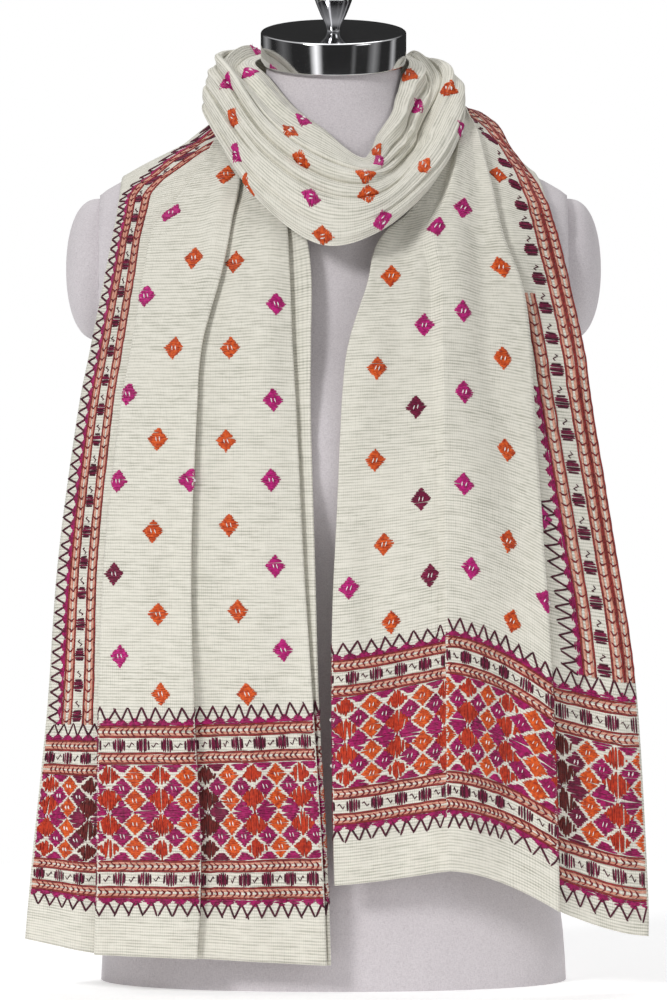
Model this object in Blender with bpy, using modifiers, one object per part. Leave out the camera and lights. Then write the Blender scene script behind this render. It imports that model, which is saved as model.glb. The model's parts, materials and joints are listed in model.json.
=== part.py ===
"""A phulkari shawl wound once round the neck of a limbless dress form.

The shawl is one cloth. It is built as the stretches of that cloth that show, each a thin wall
through rows of points: every row crosses the cloth from its inner side edge to its outer one.
The form stands on its flat bottom at z = 0 and faces -Y. Lengths in the tables are millimetres.
"""
import math

import bmesh
import bpy

MM = 0.001

# The cloth
WALL = 1.2              # thickness of the cloth's wall
LAYER = 3.2             # from one layer of a pleat to the next
SEAM = 0.3              # gap between two stretches of the cloth
CUFF = 52.0             # width of the inner side edge that is folded back out of sight
CUFF_ENDS = (520, 660)  # heights between which the folded edge narrows to nothing
POINTS = 45             # points in every row of the cloth
CLEAR = 2.6             # from the middle of the cloth's wall to the form where it touches
STACK = 13.0            # layers nearer than this are lifted together
LIFT_SLOPE = 0.35       # how fast a lift fades across the cloth
LEFT_SWELL = 2.4        # how much the pleats of each fall swell as they open
RIGHT_SWELL = 0.2
ROWS_PER_STEP = 2       # rows of faces between two rows of a table
CREASES = 6             # long creases round the neck
CREASE_DEPTH = 2.6      # half of a crease's height
CURL = 7.0              # how far both long edges turn in round the neck

# The dress form
ARM_PLANE = 178.0       # distance of each armhole's flat face from the middle
ARM_CAP_OUT = 26.0      # how far an arm cap stands out
ARM_CAP_HALF_DEPTH = 44.0
ARM_CAP_HALF_HEIGHT = 57.0
ARM_CAP_Z = 545.0
NECK_TILT = 12.5        # the neck's top leans forward by this many degrees
NECK_TOP_Z = 698.5
CAP_RADIUS = 55.5
CAP_HEIGHT = 25.0
CAP_EDGE = 1.6
JOIN = 0.3              # gap between two pieces of the form

# Rows of the left fall, from the hem up to behind the shoulder. x of: a outer edge, b hidden turn
# of the side pleat, c its front fold, p second pleat's fold, q third pleat's fold, f inner edge.
# z and y at f, p, c and a. lap is the hidden overlap of pleats p and q. lean turns the outward
# side of the cloth from the front, 0, to the top, 90. open is 0 where the pleats are folded and 1
# where they have opened into gathers.
LEFT_COLUMNS = "a b c p q f zf zp zc za yf yp yc ya lap lean open".split()
LEFT_ROWS = (
    (-232, -122, -178, -102, -6, -2, 22, 27, 29, 38, -133, -131, -118, -88, 8, 0, 0),
    (-226, -122, -176, -99, -9, -5, 102, 103, 103, 105, -133, -132, -118, -88, 8, 0, 0),
    (-215, -125, -175, -104, -16, -11, 216, 216, 216, 214, -133, -133, -117, -86, 10, 0, 0),
    (-207, -130, -171, -106, -23, -14, 322, 322, 322, 321, -134, -133, -116, -85, 13, 0, 0),
    (-193, -125, -160, -102, -28, -17, 429, 429, 429, 428, -134, -132, -112, -82, 14, 4, 0),
    (-183, -120, -151, -98, -31, -17, 486, 485, 484, 482, -128, -123, -103, -78, 14, 14, 0),
    (-172, -115, -142, -83, -33, -17, 543, 542, 541, 540, -114, -106, -88, -66, 13, 28, 0),
    (-166, -112, -134, -76, -36, -24, 584, 579, 575, 572, -98, -93, -79, -62, 11, 42, 0),
    (-162, -112, -126, -77, -48, -40, 624, 615, 605, 595, -72, -67, -57, -47, 9, 60, 0.35),
    (-159, -110, -118, -80, -66, -58, 675, 658, 636, 606, -22, -18, -4, 8, 6, 88, 0.9),
    (-148, -104, -108, -80, -68, -57, 689, 664, 640, 604, 26, 30, 40, 46, 4, 112, 1),
)

# Rows of the right fall, from the hem up. x of: f inner edge, v valley, r crease that stands out,
# t trough, g fold of the side pleat, a outer edge. z and y at f, r, g and a.
RIGHT_COLUMNS = "f v r t g a zf zr zg za yf yr yg ya lap lean open".split()
RIGHT_ROWS = (
    (1, 77, 87, 128, 169, 237, 82, 93, 61, 40, -131, -131, -118, -90, 26, 0, 0),
    (0, 77, 86, 128, 168, 236, 125, 137, 104, 85, -131, -132, -118, -90, 26, 0, 0),
    (-1, 77, 85, 133, 163, 227, 265, 280, 243, 230, -131, -132, -117, -88, 26, 0, 0),
    (3, 76, 84, 142, 156, 210, 365, 373, 350, 343, -131, -132, -116, -86, 28, 0, 0),
    (7, 73, 83, 133, 150, 195, 451, 455, 443, 438, -129, -126, -104, -74, 30, 10, 0),
    (12, 72, 82, 130, 148, 189, 489, 492, 484, 480, -124, -120, -99, -78, 28, 18, 0),
    (25, 71, 82, 124, 142, 180, 530, 533, 529, 524, -115, -108, -90, -64, 24, 30, 0),
    (36, 69, 81, 118, 136, 171, 568, 570, 566, 562, -100, -94, -80, -58, 20, 44, 0.1),
    (80, 88, 95, 116, 131, 161, 609, 608, 604, 592, -62, -59, -53, -46, 16, 62, 0.35),
    (90, 98, 106, 116, 128, 148, 651, 664, 655, 620, 4, 6, 10, 14, 8, 88, 0.85),
    (86, 93, 99, 108, 117, 133, 672, 662, 640, 613, 48, 56, 66, 74, 5, 112, 1),
)

# Rows of the cowl by bearing in degrees from the front, minus to the viewer's left. Radius and
# height of its top edge, the valley behind its lip, the lip, the belly and the bottom edge.
NECK_COLUMNS = "bearing rt zt rv zv rl zl rb zb re ze".split()
COWL_ROWS = (
    (-130, 68, 712, 76, 705, 84, 715, 93, 698, 93, 668),
    (-90, 65, 704, 74, 694, 86, 706, 98, 684, 98, 664),
    (-60, 61, 692, 74, 680, 88, 690, 104, 668, 109, 645),
    (-30, 64, 669, 80, 654, 96, 651, 113, 626, 122, 597),
    (-5, 76, 651, 91, 637, 106, 624, 122, 596, 132, 562),
    (15, 88, 629, 97, 621, 110, 616, 124, 597, 133, 571),
    (40, 63, 657, 84, 622, 103, 625, 116, 618, 119, 604),
    (65, 61, 686, 78, 650, 94, 656, 105, 650, 106, 638),
    (90, 64, 703, 74, 682, 87, 694, 99, 684, 97, 665),
    (130, 68, 712, 75, 702, 82, 711, 89, 700, 88, 678),
)
NAPE_OUTER_ROWS = (
    (-155, 72, 716, 78, 706, 84, 694, 92, 676, 98, 652),
    (-180, 84, 714, 88, 702, 94, 686, 100, 664, 108, 636),
    (-207, 96, 700, 101, 690, 107, 676, 115, 654, 124, 624),
)
NAPE_INNER_ROWS = (
    (-142, 64, 695, 68, 684, 75, 666, 88, 640, 112, 608),
    (-168, 64, 700, 68, 688, 74, 672, 81, 650, 96, 618),
    (-196, 64, 706, 68, 696, 72, 684, 78, 668, 86, 646),
    (-217, 66, 710, 70, 702, 74, 696, 80, 685, 86, 664),
)

# Rings of the torso from its bottom to the top of its neck: half width, depth in front of and
# behind the middle, squareness of the oval, and forward lean in degrees.
TORSO_COLUMNS = "z half front back square lean".split()
TORSO_ROWS = (
    (0, 178, 106, 112, 2.2, 0),
    (50, 174, 105, 114, 2.2, 0),
    (110, 162, 101, 111, 2.2, 0),
    (170, 145, 95, 102, 2.2, 0),
    (220, 132, 90, 93, 2.2, 0),
    (260, 127, 90, 88, 2.2, 0),
    (310, 133, 101, 89, 2.2, 0),
    (360, 146, 117, 93, 2.2, 0),
    (405, 156, 124, 98, 2.25, 0),
    (450, 164, 117, 102, 2.3, 0),
    (480, 174, 108, 104, 2.35, 0),
    (505, 189, 102, 105, 2.35, 0),
    (540, 199, 94, 104, 2.35, 0),
    (570, 200, 86, 98, 2.3, 0),
    (590, 190, 78, 90, 2.25, 0),
    (606, 167, 70, 82, 2.2, 1),
    (618, 143, 65, 76, 2.1, 2),
    (630, 116, 61, 70, 2.1, 4),
    (643, 90, 58, 65, 2.0, 6),
    (658, 69, 55, 60, 2.0, 8),
    (674, 57, 52, 55, 2.0, 10),
    (NECK_TOP_Z, 50, 49, 51, 2.0, NECK_TILT),
)
TORSO_SIDES = 32

# The finial's outline: radius and height above the cap.
FINIAL = ((0, 46), (8, 44), (13, 39), (15, 32), (14.5, 25), (10, 13), (6.5, 6), (5.2, 2), (5.2, 0), (0, 0))

LINEN = (0.60, 0.55, 0.575, 1.0)
CREAM = (0.83, 0.81, 0.72, 1.0)
CHROME = (0.75, 0.75, 0.77, 1.0)


def named(columns, row):
    return dict(zip(columns, row))


def between(x, pairs):
    """The value at x on the straight lines through pairs of (x, value)."""
    pairs = sorted(pairs)
    if x <= pairs[0][0]:
        return pairs[0][1]
    for (x0, v0), (x1, v1) in zip(pairs, pairs[1:]):
        if x <= x1:
            return v0 + (v1 - v0) * (x - x0) / max(x1 - x0, 1e-6)
    return pairs[-1][1]


def smooth(s):
    s = min(max(s, 0.0), 1.0)
    return s * s * (3 - 2 * s)


def run(x0, x1, level0, level1, inner, hold=0.0):
    """Points (x, level) strictly inside a flat run, which keeps level0 for its first part."""
    steps = [(i + 1) / (inner + 1) for i in range(inner)]
    return [(x0 + (x1 - x0) * s, level0 + (level1 - level0) * smooth((s - hold) / (1 - hold))) for s in steps]


def turn(x, level0, level1, way):
    """Four points round a fold whose tip is at x. way is the direction it points in."""
    radius = abs(level1 - level0) * LAYER / 2
    middle = (level0 + level1) / 2
    rise = (level1 - level0) / 2
    angles = [math.radians(angle) for angle in (-90, -30, 30, 90)]
    return [(x + way * radius * (math.cos(angle) - 1), middle + rise * math.sin(angle)) for angle in angles]


def cuff_points(at, way, level, level_at_fold):
    """The folded inner edge, from its raw end to just short of its fold at f."""
    low, high = CUFF_ENDS
    width = max(CUFF * (1 - smooth((at["zf"] - low) / (high - low))), 5)
    near = min(7, width * 0.5)
    return [(at["f"] + way * width, level), (at["f"] + way * (width + near) / 2, level),
            (at["f"] + way * near, level * 0.7 + level_at_fold * 0.3)]


def left_profile(at):
    """One row of the left fall as (x, level). Level 0 is the front panel, and 1 is one layer in."""
    edge = at["f"]
    q_turn = at["q"] - at["lap"]
    p_turn = at["p"] - at["lap"]
    strip = 2.6 - 1.3 * smooth((edge - at["q"]) / 12)
    points = cuff_points(at, -1, strip + 2.1, strip + 1)
    points += turn(edge, strip + 1, strip, 1)
    points += [(at["q"] + 1, 2.6)]
    points += turn(q_turn, 2.6, 1.7, -1)
    points += turn(at["q"], 1.7, 0.7, 1)
    points += run(at["q"], p_turn, 0.7, 2.0, 3, hold=0.2)
    points += turn(p_turn, 2.0, 1.0, -1)
    points += turn(at["p"], 1.0, 0.0, 1)
    points += run(at["p"], at["c"], 0.0, 0.0, 4)
    points += turn(at["c"], 0.0, 1.0, -1)
    points += run(at["c"], at["b"], 1.0, 1.0, 1)
    points += turn(at["b"], 1.0, 2.0, 1)
    points += run(at["b"], at["a"], 2.0, 1.2, 4, hold=0.45)
    points += [(at["a"], 1.2)]
    return points


def right_profile(at):
    """One row of the right fall as (x, level), from its folded inner edge to its outer edge."""
    edge = at["f"]
    hidden = at["g"] - at["lap"]
    points = cuff_points(at, 1, 2.2, 1.2)
    points += turn(edge, 1.2, 0.2, -1)
    stops = ((edge, 0.2), (at["v"], 1.0), (at["r"], -0.8), (at["t"], 0.5), (at["g"], 0.0))
    inner = (6, 4, 5, 4)
    for (x0, l0), (x1, l1), count in zip(stops, stops[1:], inner):
        points += run(x0, x1, l0, l1, count)
        if x1 != at["g"]:
            points += [(x1, l1)]
    points += turn(at["g"], 0.0, 1.3, 1)
    points += run(at["g"], hidden, 1.3, 1.3, 1)
    points += turn(hidden, 1.3, 2.4, -1)
    points += run(hidden, at["a"], 2.4, 1.4, 6, hold=0.35)
    points += [(at["a"], 1.4)]
    return points


def opened(at, points, swell):
    """The profile as its folds open: they swell, then flatten into gathers evenly apart from f to a."""
    even = [at["f"] + (at["a"] - at["f"]) * i / (POINTS - 1) for i in range(POINTS)]
    spread = at["open"]
    height = 1 + swell * spread * (1 - spread) - 0.55 * spread ** 3
    return [(x + (flat - x) * spread, level * height) for (x, level), flat in zip(points, even)]


def fall_row(at, points, stations, swell):
    """The profile's points in space: stations name the places where y and z are given."""
    points = opened(at, points, swell)
    lean = math.radians(at["lean"])
    heights = [(at[name], at["z" + name]) for name in stations]
    depths = [(at[name], at["y" + name]) for name in stations]
    row = []
    for x, level in points:
        inward = level * LAYER
        y = between(x, depths) + inward * math.cos(lean)
        z = between(x, heights) - inward * math.sin(lean)
        row.append((x, y, z, 0.0, -math.cos(lean), math.sin(lean)))
    return row


def neck_row(at):
    """A row round the neck: its profile with the long creases, and both edges turned in."""
    profile = [(at["r" + name], at["z" + name]) for name in "tvlbe"]
    lengths = [0.0]
    for (r0, z0), (r1, z1) in zip(profile, profile[1:]):
        lengths.append(lengths[-1] + math.hypot(r1 - r0, z1 - z0))
    bearing = math.radians(at["bearing"])
    row = []
    for i in range(POINTS):
        s = i / (POINTS - 1)
        along = s * lengths[-1]
        r = between(along, list(zip(lengths, (p[0] for p in profile))))
        z = between(along, list(zip(lengths, (p[1] for p in profile))))
        ahead = min(along + 6, lengths[-1])
        behind = max(along - 6, 0)
        dr = between(ahead, list(zip(lengths, (p[0] for p in profile)))) - between(
            behind, list(zip(lengths, (p[0] for p in profile))))
        dz = between(ahead, list(zip(lengths, (p[1] for p in profile)))) - between(
            behind, list(zip(lengths, (p[1] for p in profile))))
        size = math.hypot(dr, dz)
        out_r, out_z = -dz / size, dr / size
        curl = CURL * (smooth(1 - s / 0.09) + smooth((s - 0.93) / 0.07))
        wave = CREASE_DEPTH * math.cos(2 * math.pi * CREASES * s) * smooth(s / 0.12) * smooth((1 - s) / 0.1)
        r += out_r * (wave - curl)
        z += out_z * (wave - curl)
        row.append((r * math.sin(bearing), -r * math.cos(bearing), z,
                    math.sin(bearing), -math.cos(bearing), 0.0))
    return row


def curve_through(p0, p1, p2, p3, t):
    """Catmull-Rom curve from p1 to p2."""
    out = []
    for a, b, c, d in zip(p0, p1, p2, p3):
        out.append(0.5 * (2 * b + (c - a) * t + (2 * a - 5 * b + 4 * c - d) * t * t
                          + (3 * b - a - 3 * c + d) * t * t * t))
    return tuple(out)


def row_at(rows, place):
    """The cloth's row at a place counted in table rows."""
    last = len(rows) - 1
    first = min(int(place), last - 1)
    near = [rows[min(max(first + k, 0), last)] for k in (-1, 0, 1, 2)]
    return [curve_through(*four, place - first) for four in zip(*near)]


def cloth_rows():
    """All rows of the cloth from the left hem to the right hem, and the place of each seam."""
    left = [named(LEFT_COLUMNS, row) for row in LEFT_ROWS]
    right = [named(RIGHT_COLUMNS, row) for row in RIGHT_ROWS]
    rows = [fall_row(at, left_profile(at), "fpca", LEFT_SWELL) for at in left]
    seams = [0, len(rows) - 1]
    rows += [neck_row(named(NECK_COLUMNS, row)) for row in NAPE_INNER_ROWS]
    seams.append(len(rows))
    rows += [neck_row(named(NECK_COLUMNS, row)) for row in reversed(COWL_ROWS)]
    seams.append(len(rows) - 1)
    rows += [neck_row(named(NECK_COLUMNS, row)) for row in NAPE_OUTER_ROWS]
    seams.append(len(rows))
    rows += [fall_row(at, right_profile(at), "frga", RIGHT_SWELL) for at in reversed(right)]
    seams.append(len(rows) - 1)
    return rows, seams


def distance(row0, row1):
    """How far apart two rows are where they are nearly nearest."""
    return sorted(math.dist(a[:3], b[:3]) for a, b in zip(row0, row1))[3]


def torso_at(z):
    """The torso's ring at a height, between the rings of the table."""
    rows = [named(TORSO_COLUMNS, row) for row in TORSO_ROWS]
    return {name: between(z, [(row["z"], row[name]) for row in rows]) for name in TORSO_COLUMNS[1:]}


def oval_size(x, y, z):
    """How many times larger than the torso's ring at its height the point lies."""
    lean = math.tan(math.radians(torso_at(z)["lean"]))
    at = torso_at(z - y * lean)
    depth = at["back"] if y > 0 else at["front"]
    return ((abs(x) / at["half"]) ** at["square"] + (abs(y) / depth) ** at["square"]) ** (1 / at["square"])


def above_torso(x, y, z):
    """Distance from the torso's surface, to first order."""
    size = oval_size(x, y, z)
    if size > 1.6:
        return 50.0
    slope = math.dist((oval_size(x + 1, y, z), oval_size(x, y + 1, z), oval_size(x, y, z + 1)), (size,) * 3)
    return (size - 1) / max(slope, 1e-4)


def lift_needed(point):
    x, y, z, ox, oy, oz = point
    lift = 0.0
    while lift < 60 and above_torso(x + ox * lift, y + oy * lift, z + oz * lift) < CLEAR:
        lift += 0.5
    return lift


def lifted(row):
    """The row moved outward where it would enter the torso, its layers keeping their order."""
    needs = [lift_needed(point) for point in row]
    out = []
    for point in row:
        lift = max(need - LIFT_SLOPE * max(0.0, math.dist(point[:3], other[:3]) - STACK)
                   for need, other in zip(needs, row))
        lift = max(lift, 0.0)
        out.append(tuple(c + o * lift for c, o in zip(point[:3], point[3:])))
    return out


def stretch_rows(rows, start, end, trim_start, trim_end):
    """Evenly placed rows of one stretch, its ends moved in by half a seam's gap where asked."""
    first, last = float(start), float(end)
    if trim_start:
        first += SEAM / distance(rows[start], rows[start + 1])
    if trim_end:
        last -= SEAM / distance(rows[end - 1], rows[end])
    count = ROWS_PER_STEP * (end - start)
    return [lifted(row_at(rows, first + (last - first) * i / count)) for i in range(count + 1)]


def mesh_object(name, points, faces, group):
    mesh = bpy.data.meshes.new(name)
    mesh.from_pydata([tuple(c * MM for c in p) for p in points], [], faces)
    mesh.update()
    obj = bpy.data.objects.new(name, mesh)
    group.objects.link(obj)
    return obj


def material(obj, colour, roughness, metallic=0.0):
    surface = bpy.data.materials.new(obj.name)
    surface.use_nodes = True
    shader = surface.node_tree.nodes["Principled BSDF"]
    shader.inputs["Base Color"].default_value = colour
    shader.inputs["Roughness"].default_value = roughness
    shader.inputs["Metallic"].default_value = metallic
    surface.diffuse_color = colour
    obj.data.materials.append(surface)


def cloth_stretch(name, rows, group):
    """A stretch of cloth: a grid through its rows, thickened evenly to both sides."""
    across = len(rows[0])
    points = [p for row in rows for p in row]
    faces = []
    for j in range(len(rows) - 1):
        for i in range(across - 1):
            k = j * across + i
            faces.append((k, k + 1, k + 1 + across, k + across))
    obj = mesh_object(name, points, faces, group)
    wall = obj.modifiers.new("wall", "SOLIDIFY")
    wall.thickness = WALL * MM
    wall.offset = 0.0
    obj.data.shade_smooth()
    material(obj, CREAM, 0.85)
    return obj


def oval_ring(at):
    """Points of one of the torso's rings, anticlockwise seen from above."""
    ring = []
    power = 2 / at["square"]
    for i in range(TORSO_SIDES):
        turned = 2 * math.pi * i / TORSO_SIDES
        c, s = math.cos(turned), math.sin(turned)
        x = math.copysign(abs(c) ** power, c) * at["half"]
        y = math.copysign(abs(s) ** power, s) * (at["back"] if s > 0 else at["front"])
        ring.append((x, y, at["z"] + y * math.tan(math.radians(at["lean"]))))
    return ring


def cut_flat(mesh, side, plane):
    """Cuts off what lies beyond the plane at x = side * plane, and closes the cut with one flat face."""
    work = bmesh.new()
    work.from_mesh(mesh)
    everything = work.verts[:] + work.edges[:] + work.faces[:]
    cut = bmesh.ops.bisect_plane(work, geom=everything, dist=1e-6, plane_co=(side * plane, 0, 0),
                                 plane_no=(side, 0, 0), clear_outer=True)
    rim = [part for part in cut["geom_cut"] if isinstance(part, bmesh.types.BMEdge)]
    bmesh.ops.contextual_create(work, geom=rim)
    bmesh.ops.recalc_face_normals(work, faces=work.faces[:])
    work.to_mesh(mesh)
    work.free()


def torso(group):
    """The padded body: its rings joined, closed flat, and cut flat at both armholes."""
    rings = [oval_ring(named(TORSO_COLUMNS, row)) for row in TORSO_ROWS]
    points = [p for ring in rings for p in ring]
    sides = TORSO_SIDES
    faces = [tuple(reversed(range(sides))), tuple(range(len(points) - sides, len(points)))]
    for j in range(len(rings) - 1):
        for i in range(sides):
            k = j * sides + i
            n = j * sides + (i + 1) % sides
            faces.append((k, n, n + sides, k + sides))
    obj = mesh_object("form_torso", points, faces, group)
    for side in (-1, 1):
        cut_flat(obj.data, side, (ARM_PLANE - JOIN) * MM)
    obj.data.shade_smooth()
    obj.data.set_sharp_from_angle(angle=math.radians(40))
    material(obj, LINEN, 0.9)
    return obj


def turned(name, outline, group, steps=40):
    """A turned piece: its outline of (radius, height), top first, spun round the Z axis."""
    mesh = bpy.data.meshes.new(name)
    points = [(r * MM, 0, z * MM) for r, z in outline]
    mesh.from_pydata(points, [(i, i + 1) for i in range(len(points) - 1)], [])
    obj = bpy.data.objects.new(name, mesh)
    group.objects.link(obj)
    spin = obj.modifiers.new("spin", "SCREW")
    spin.steps = steps
    spin.render_steps = steps
    spin.use_merge_vertices = True
    spin.merge_threshold = 0.00001
    spin.use_smooth_shade = True
    return obj


def arm_cap(name, side, group):
    """The covered plate over an armhole: a low pillow with a flat inner face."""
    outline = [(ARM_CAP_HALF_HEIGHT * math.sin(a) ** 0.8, ARM_CAP_OUT * math.cos(a) ** 0.7)
               for a in (math.radians(step) for step in (0, 15, 30, 45, 58, 70, 80))]
    outline += [(ARM_CAP_HALF_HEIGHT, 0), (0, 0)]
    obj = turned(name, outline, group, steps=28)
    obj.location = (side * ARM_PLANE * MM, 0, ARM_CAP_Z * MM)
    obj.rotation_euler = (0, side * math.pi / 2, 0)
    obj.scale = (1, ARM_CAP_HALF_DEPTH / ARM_CAP_HALF_HEIGHT, 1)
    material(obj, LINEN, 0.9)
    return obj


def neck_fittings(group):
    """The metal cap on the neck and its finial, both square to the neck's leaning top."""
    axis = bpy.data.objects.new("neck_axis", None)
    group.objects.link(axis)
    axis.location = (0, 0, (NECK_TOP_Z + JOIN) * MM)
    axis.rotation_euler = (math.radians(NECK_TILT), 0, 0)
    rim = CAP_RADIUS - CAP_EDGE
    outline = [(0, CAP_HEIGHT), (rim, CAP_HEIGHT), (rim + CAP_EDGE * 0.7, CAP_HEIGHT - CAP_EDGE * 0.3),
               (CAP_RADIUS, CAP_HEIGHT - CAP_EDGE), (CAP_RADIUS, CAP_EDGE),
               (rim + CAP_EDGE * 0.7, CAP_EDGE * 0.3), (rim, 0), (0, 0)]
    cap = turned("neck_cap", outline, group, steps=48)
    cap.parent = axis
    material(cap, CHROME, 0.12, 1.0)
    finial = turned("finial", FINIAL, group, steps=28)
    finial.parent = axis
    finial.location = (0, 0, (CAP_HEIGHT + JOIN) * MM)
    material(finial, CHROME, 0.12, 1.0)


def main():
    for obj in list(bpy.data.objects):
        bpy.data.objects.remove(obj)
    group = bpy.data.collections.new("phulkari_shawl_on_form")
    bpy.context.scene.collection.children.link(group)
    rows, seams = cloth_rows()
    names = ("fall_left", "nape_inner", "cowl", "nape_outer", "fall_right")
    for k, name in enumerate(names):
        part_rows = stretch_rows(rows, seams[k], seams[k + 1], k > 0, k < len(names) - 1)
        cloth_stretch(name, part_rows, group)
    torso(group)
    arm_cap("arm_cap_left", -1, group)
    arm_cap("arm_cap_right", 1, group)
    neck_fittings(group)


main()
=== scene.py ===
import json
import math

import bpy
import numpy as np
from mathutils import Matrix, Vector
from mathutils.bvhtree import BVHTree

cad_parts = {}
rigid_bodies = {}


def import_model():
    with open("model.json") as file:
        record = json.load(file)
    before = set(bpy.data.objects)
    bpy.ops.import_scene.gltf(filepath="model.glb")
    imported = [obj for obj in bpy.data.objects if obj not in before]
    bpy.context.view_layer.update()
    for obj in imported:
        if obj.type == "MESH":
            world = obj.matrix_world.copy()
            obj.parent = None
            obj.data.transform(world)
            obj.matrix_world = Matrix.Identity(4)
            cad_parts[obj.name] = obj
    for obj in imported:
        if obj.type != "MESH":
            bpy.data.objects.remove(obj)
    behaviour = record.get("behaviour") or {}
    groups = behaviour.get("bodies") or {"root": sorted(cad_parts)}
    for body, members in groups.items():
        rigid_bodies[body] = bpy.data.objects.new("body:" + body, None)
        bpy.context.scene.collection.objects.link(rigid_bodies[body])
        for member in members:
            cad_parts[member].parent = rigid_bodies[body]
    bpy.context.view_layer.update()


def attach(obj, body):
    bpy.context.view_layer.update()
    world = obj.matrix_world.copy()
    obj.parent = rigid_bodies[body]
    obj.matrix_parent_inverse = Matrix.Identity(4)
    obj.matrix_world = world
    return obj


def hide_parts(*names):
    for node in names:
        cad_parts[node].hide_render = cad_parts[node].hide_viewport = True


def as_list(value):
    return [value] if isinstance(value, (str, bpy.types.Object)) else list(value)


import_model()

# %% [markdown]
# A phulkari shawl on a dress form.
#
# The real shawl is one piece of cream cotton with a ribbed weave. A hand embroiderer has worked
# small satin diamonds all over it, a border down its outer side, and a deep flower band at each end.
# It is wound once round the neck, and both ends hang in soft pleats in front.
#
# Here the cloth is a fine grid of points for each stretch of it that shows. Every stitch is then
# laid on that grid by its place on the cloth, so it follows each fold as real thread does.

MM = 0.001
PICTURE_WIDTH = 667
PICTURE_HEIGHT = 1000
rng = np.random.default_rng(11)

# %% [markdown]
# ## The camera
#
# The photograph was taken from chest height, far enough away that the shawl is hardly
# foreshortened. A long lens five metres off gives the same picture. It is made first because the
# diamonds are put where they are seen from it.

# %% Camera
CAMERA_PLACE = Vector((0.0, -5.0, 0.50))
CAMERA_DIP = math.radians(1.535)
FOCAL_PIXELS = 6546.85
SENSOR = 24.0

camera = bpy.data.objects.new("camera", bpy.data.cameras.new("camera"))
bpy.context.scene.collection.objects.link(camera)
camera.data.sensor_fit = "VERTICAL"
camera.data.sensor_height = SENSOR
camera.data.lens = FOCAL_PIXELS / PICTURE_HEIGHT * SENSOR
camera.data.clip_end = 60
camera.location = CAMERA_PLACE
camera.rotation_euler = (math.pi / 2 - CAMERA_DIP, 0, 0)
bpy.context.scene.camera = camera


def picture_ray(px, py):
    """Direction in which the camera sees a place in the picture."""
    right = (px - PICTURE_WIDTH / 2) / FOCAL_PIXELS
    up = (PICTURE_HEIGHT / 2 - py) / FOCAL_PIXELS
    c, s = math.cos(CAMERA_DIP), math.sin(CAMERA_DIP)
    return Vector((right, c + up * s, up * c - s)).normalized()


# %% [markdown]
# ## The cloth's form
#
# The tables give the main folds: where each pleat turns, how high and how far forward each row
# lies. They are the same ones as the solids were made from. A row crosses the cloth from its
# inner side edge to its outer one, and the rows follow the cloth from the left hem, up behind the
# neck, once round, and down to the right hem.

# %% Tables of the folds
LAYER = 3.2             # from one layer of a pleat to the next
SEAM = 0.3              # gap between two stretches of the cloth
CUFF = 52.0             # width of the inner side edge that is folded back out of sight
CUFF_ENDS = (520, 660)  # heights between which the folded edge narrows to nothing
POINTS = 45             # points in every row of the cloth
CLEAR = 2.6             # from the middle of the cloth's wall to the form where it touches
STACK = 13.0            # layers nearer than this are lifted together
LIFT_SLOPE = 0.35       # how fast a lift fades across the cloth
LIFT_STEP = 0.5
LIFT_TRIES = 120
LEFT_SWELL = 2.4        # how much the pleats of each fall swell as they open
RIGHT_SWELL = 0.2
CURL = 7.0              # how far both long edges turn in round the neck
BORDER_COLUMN = 38      # the point of a row where the outer side border begins
BORDER_SHARE = 0.8      # its share of a row that has opened into gathers
# How the height bends between two stations of a fall's row, in order of x.
HEM_BENDS = {"fpca": (1.0, 1.0, 1.0), "frga": (1.3, 1.6, -1.5)}

# The left fall from the hem up. x of: a outer edge, b hidden turn of the side pleat, c its front
# fold, p second pleat's fold, q third pleat's fold, f inner edge. z and y at f, p, c and a. lap is
# the hidden overlap of pleats p and q. lean turns the outward side of the cloth from the front, 0,
# to the top, 90. open is 0 where the pleats are folded and 1 where they have opened into gathers.
LEFT_COLUMNS = "a b c p q f zf zp zc za yf yp yc ya lap lean open".split()
LEFT_ROWS = (
    (-232, -122, -178, -102, -6, -2, 22, 27, 29, 38, -133, -131, -118, -88, 8, 0, 0),
    (-226, -122, -176, -99, -9, -5, 102, 103, 103, 105, -133, -132, -118, -88, 8, 0, 0),
    (-215, -125, -175, -104, -16, -11, 216, 216, 216, 214, -133, -133, -117, -86, 10, 0, 0),
    (-207, -130, -171, -106, -23, -14, 322, 322, 322, 321, -134, -133, -116, -85, 13, 0, 0),
    (-193, -125, -160, -102, -28, -17, 429, 429, 429, 428, -134, -132, -112, -82, 14, 4, 0),
    (-183, -120, -151, -98, -31, -17, 486, 485, 484, 482, -128, -123, -103, -78, 14, 14, 0),
    (-172, -115, -142, -83, -33, -17, 543, 542, 541, 540, -114, -106, -88, -66, 13, 28, 0),
    (-166, -112, -134, -76, -36, -24, 584, 579, 575, 572, -98, -93, -79, -62, 11, 42, 0),
    (-162, -112, -126, -77, -48, -40, 624, 615, 605, 595, -72, -67, -57, -47, 9, 60, 0.35),
    (-159, -110, -118, -80, -66, -58, 675, 658, 636, 606, -22, -18, -4, 8, 6, 88, 0.9),
    (-148, -104, -108, -80, -68, -57, 689, 664, 640, 604, 26, 30, 40, 46, 4, 112, 1),
)
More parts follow.
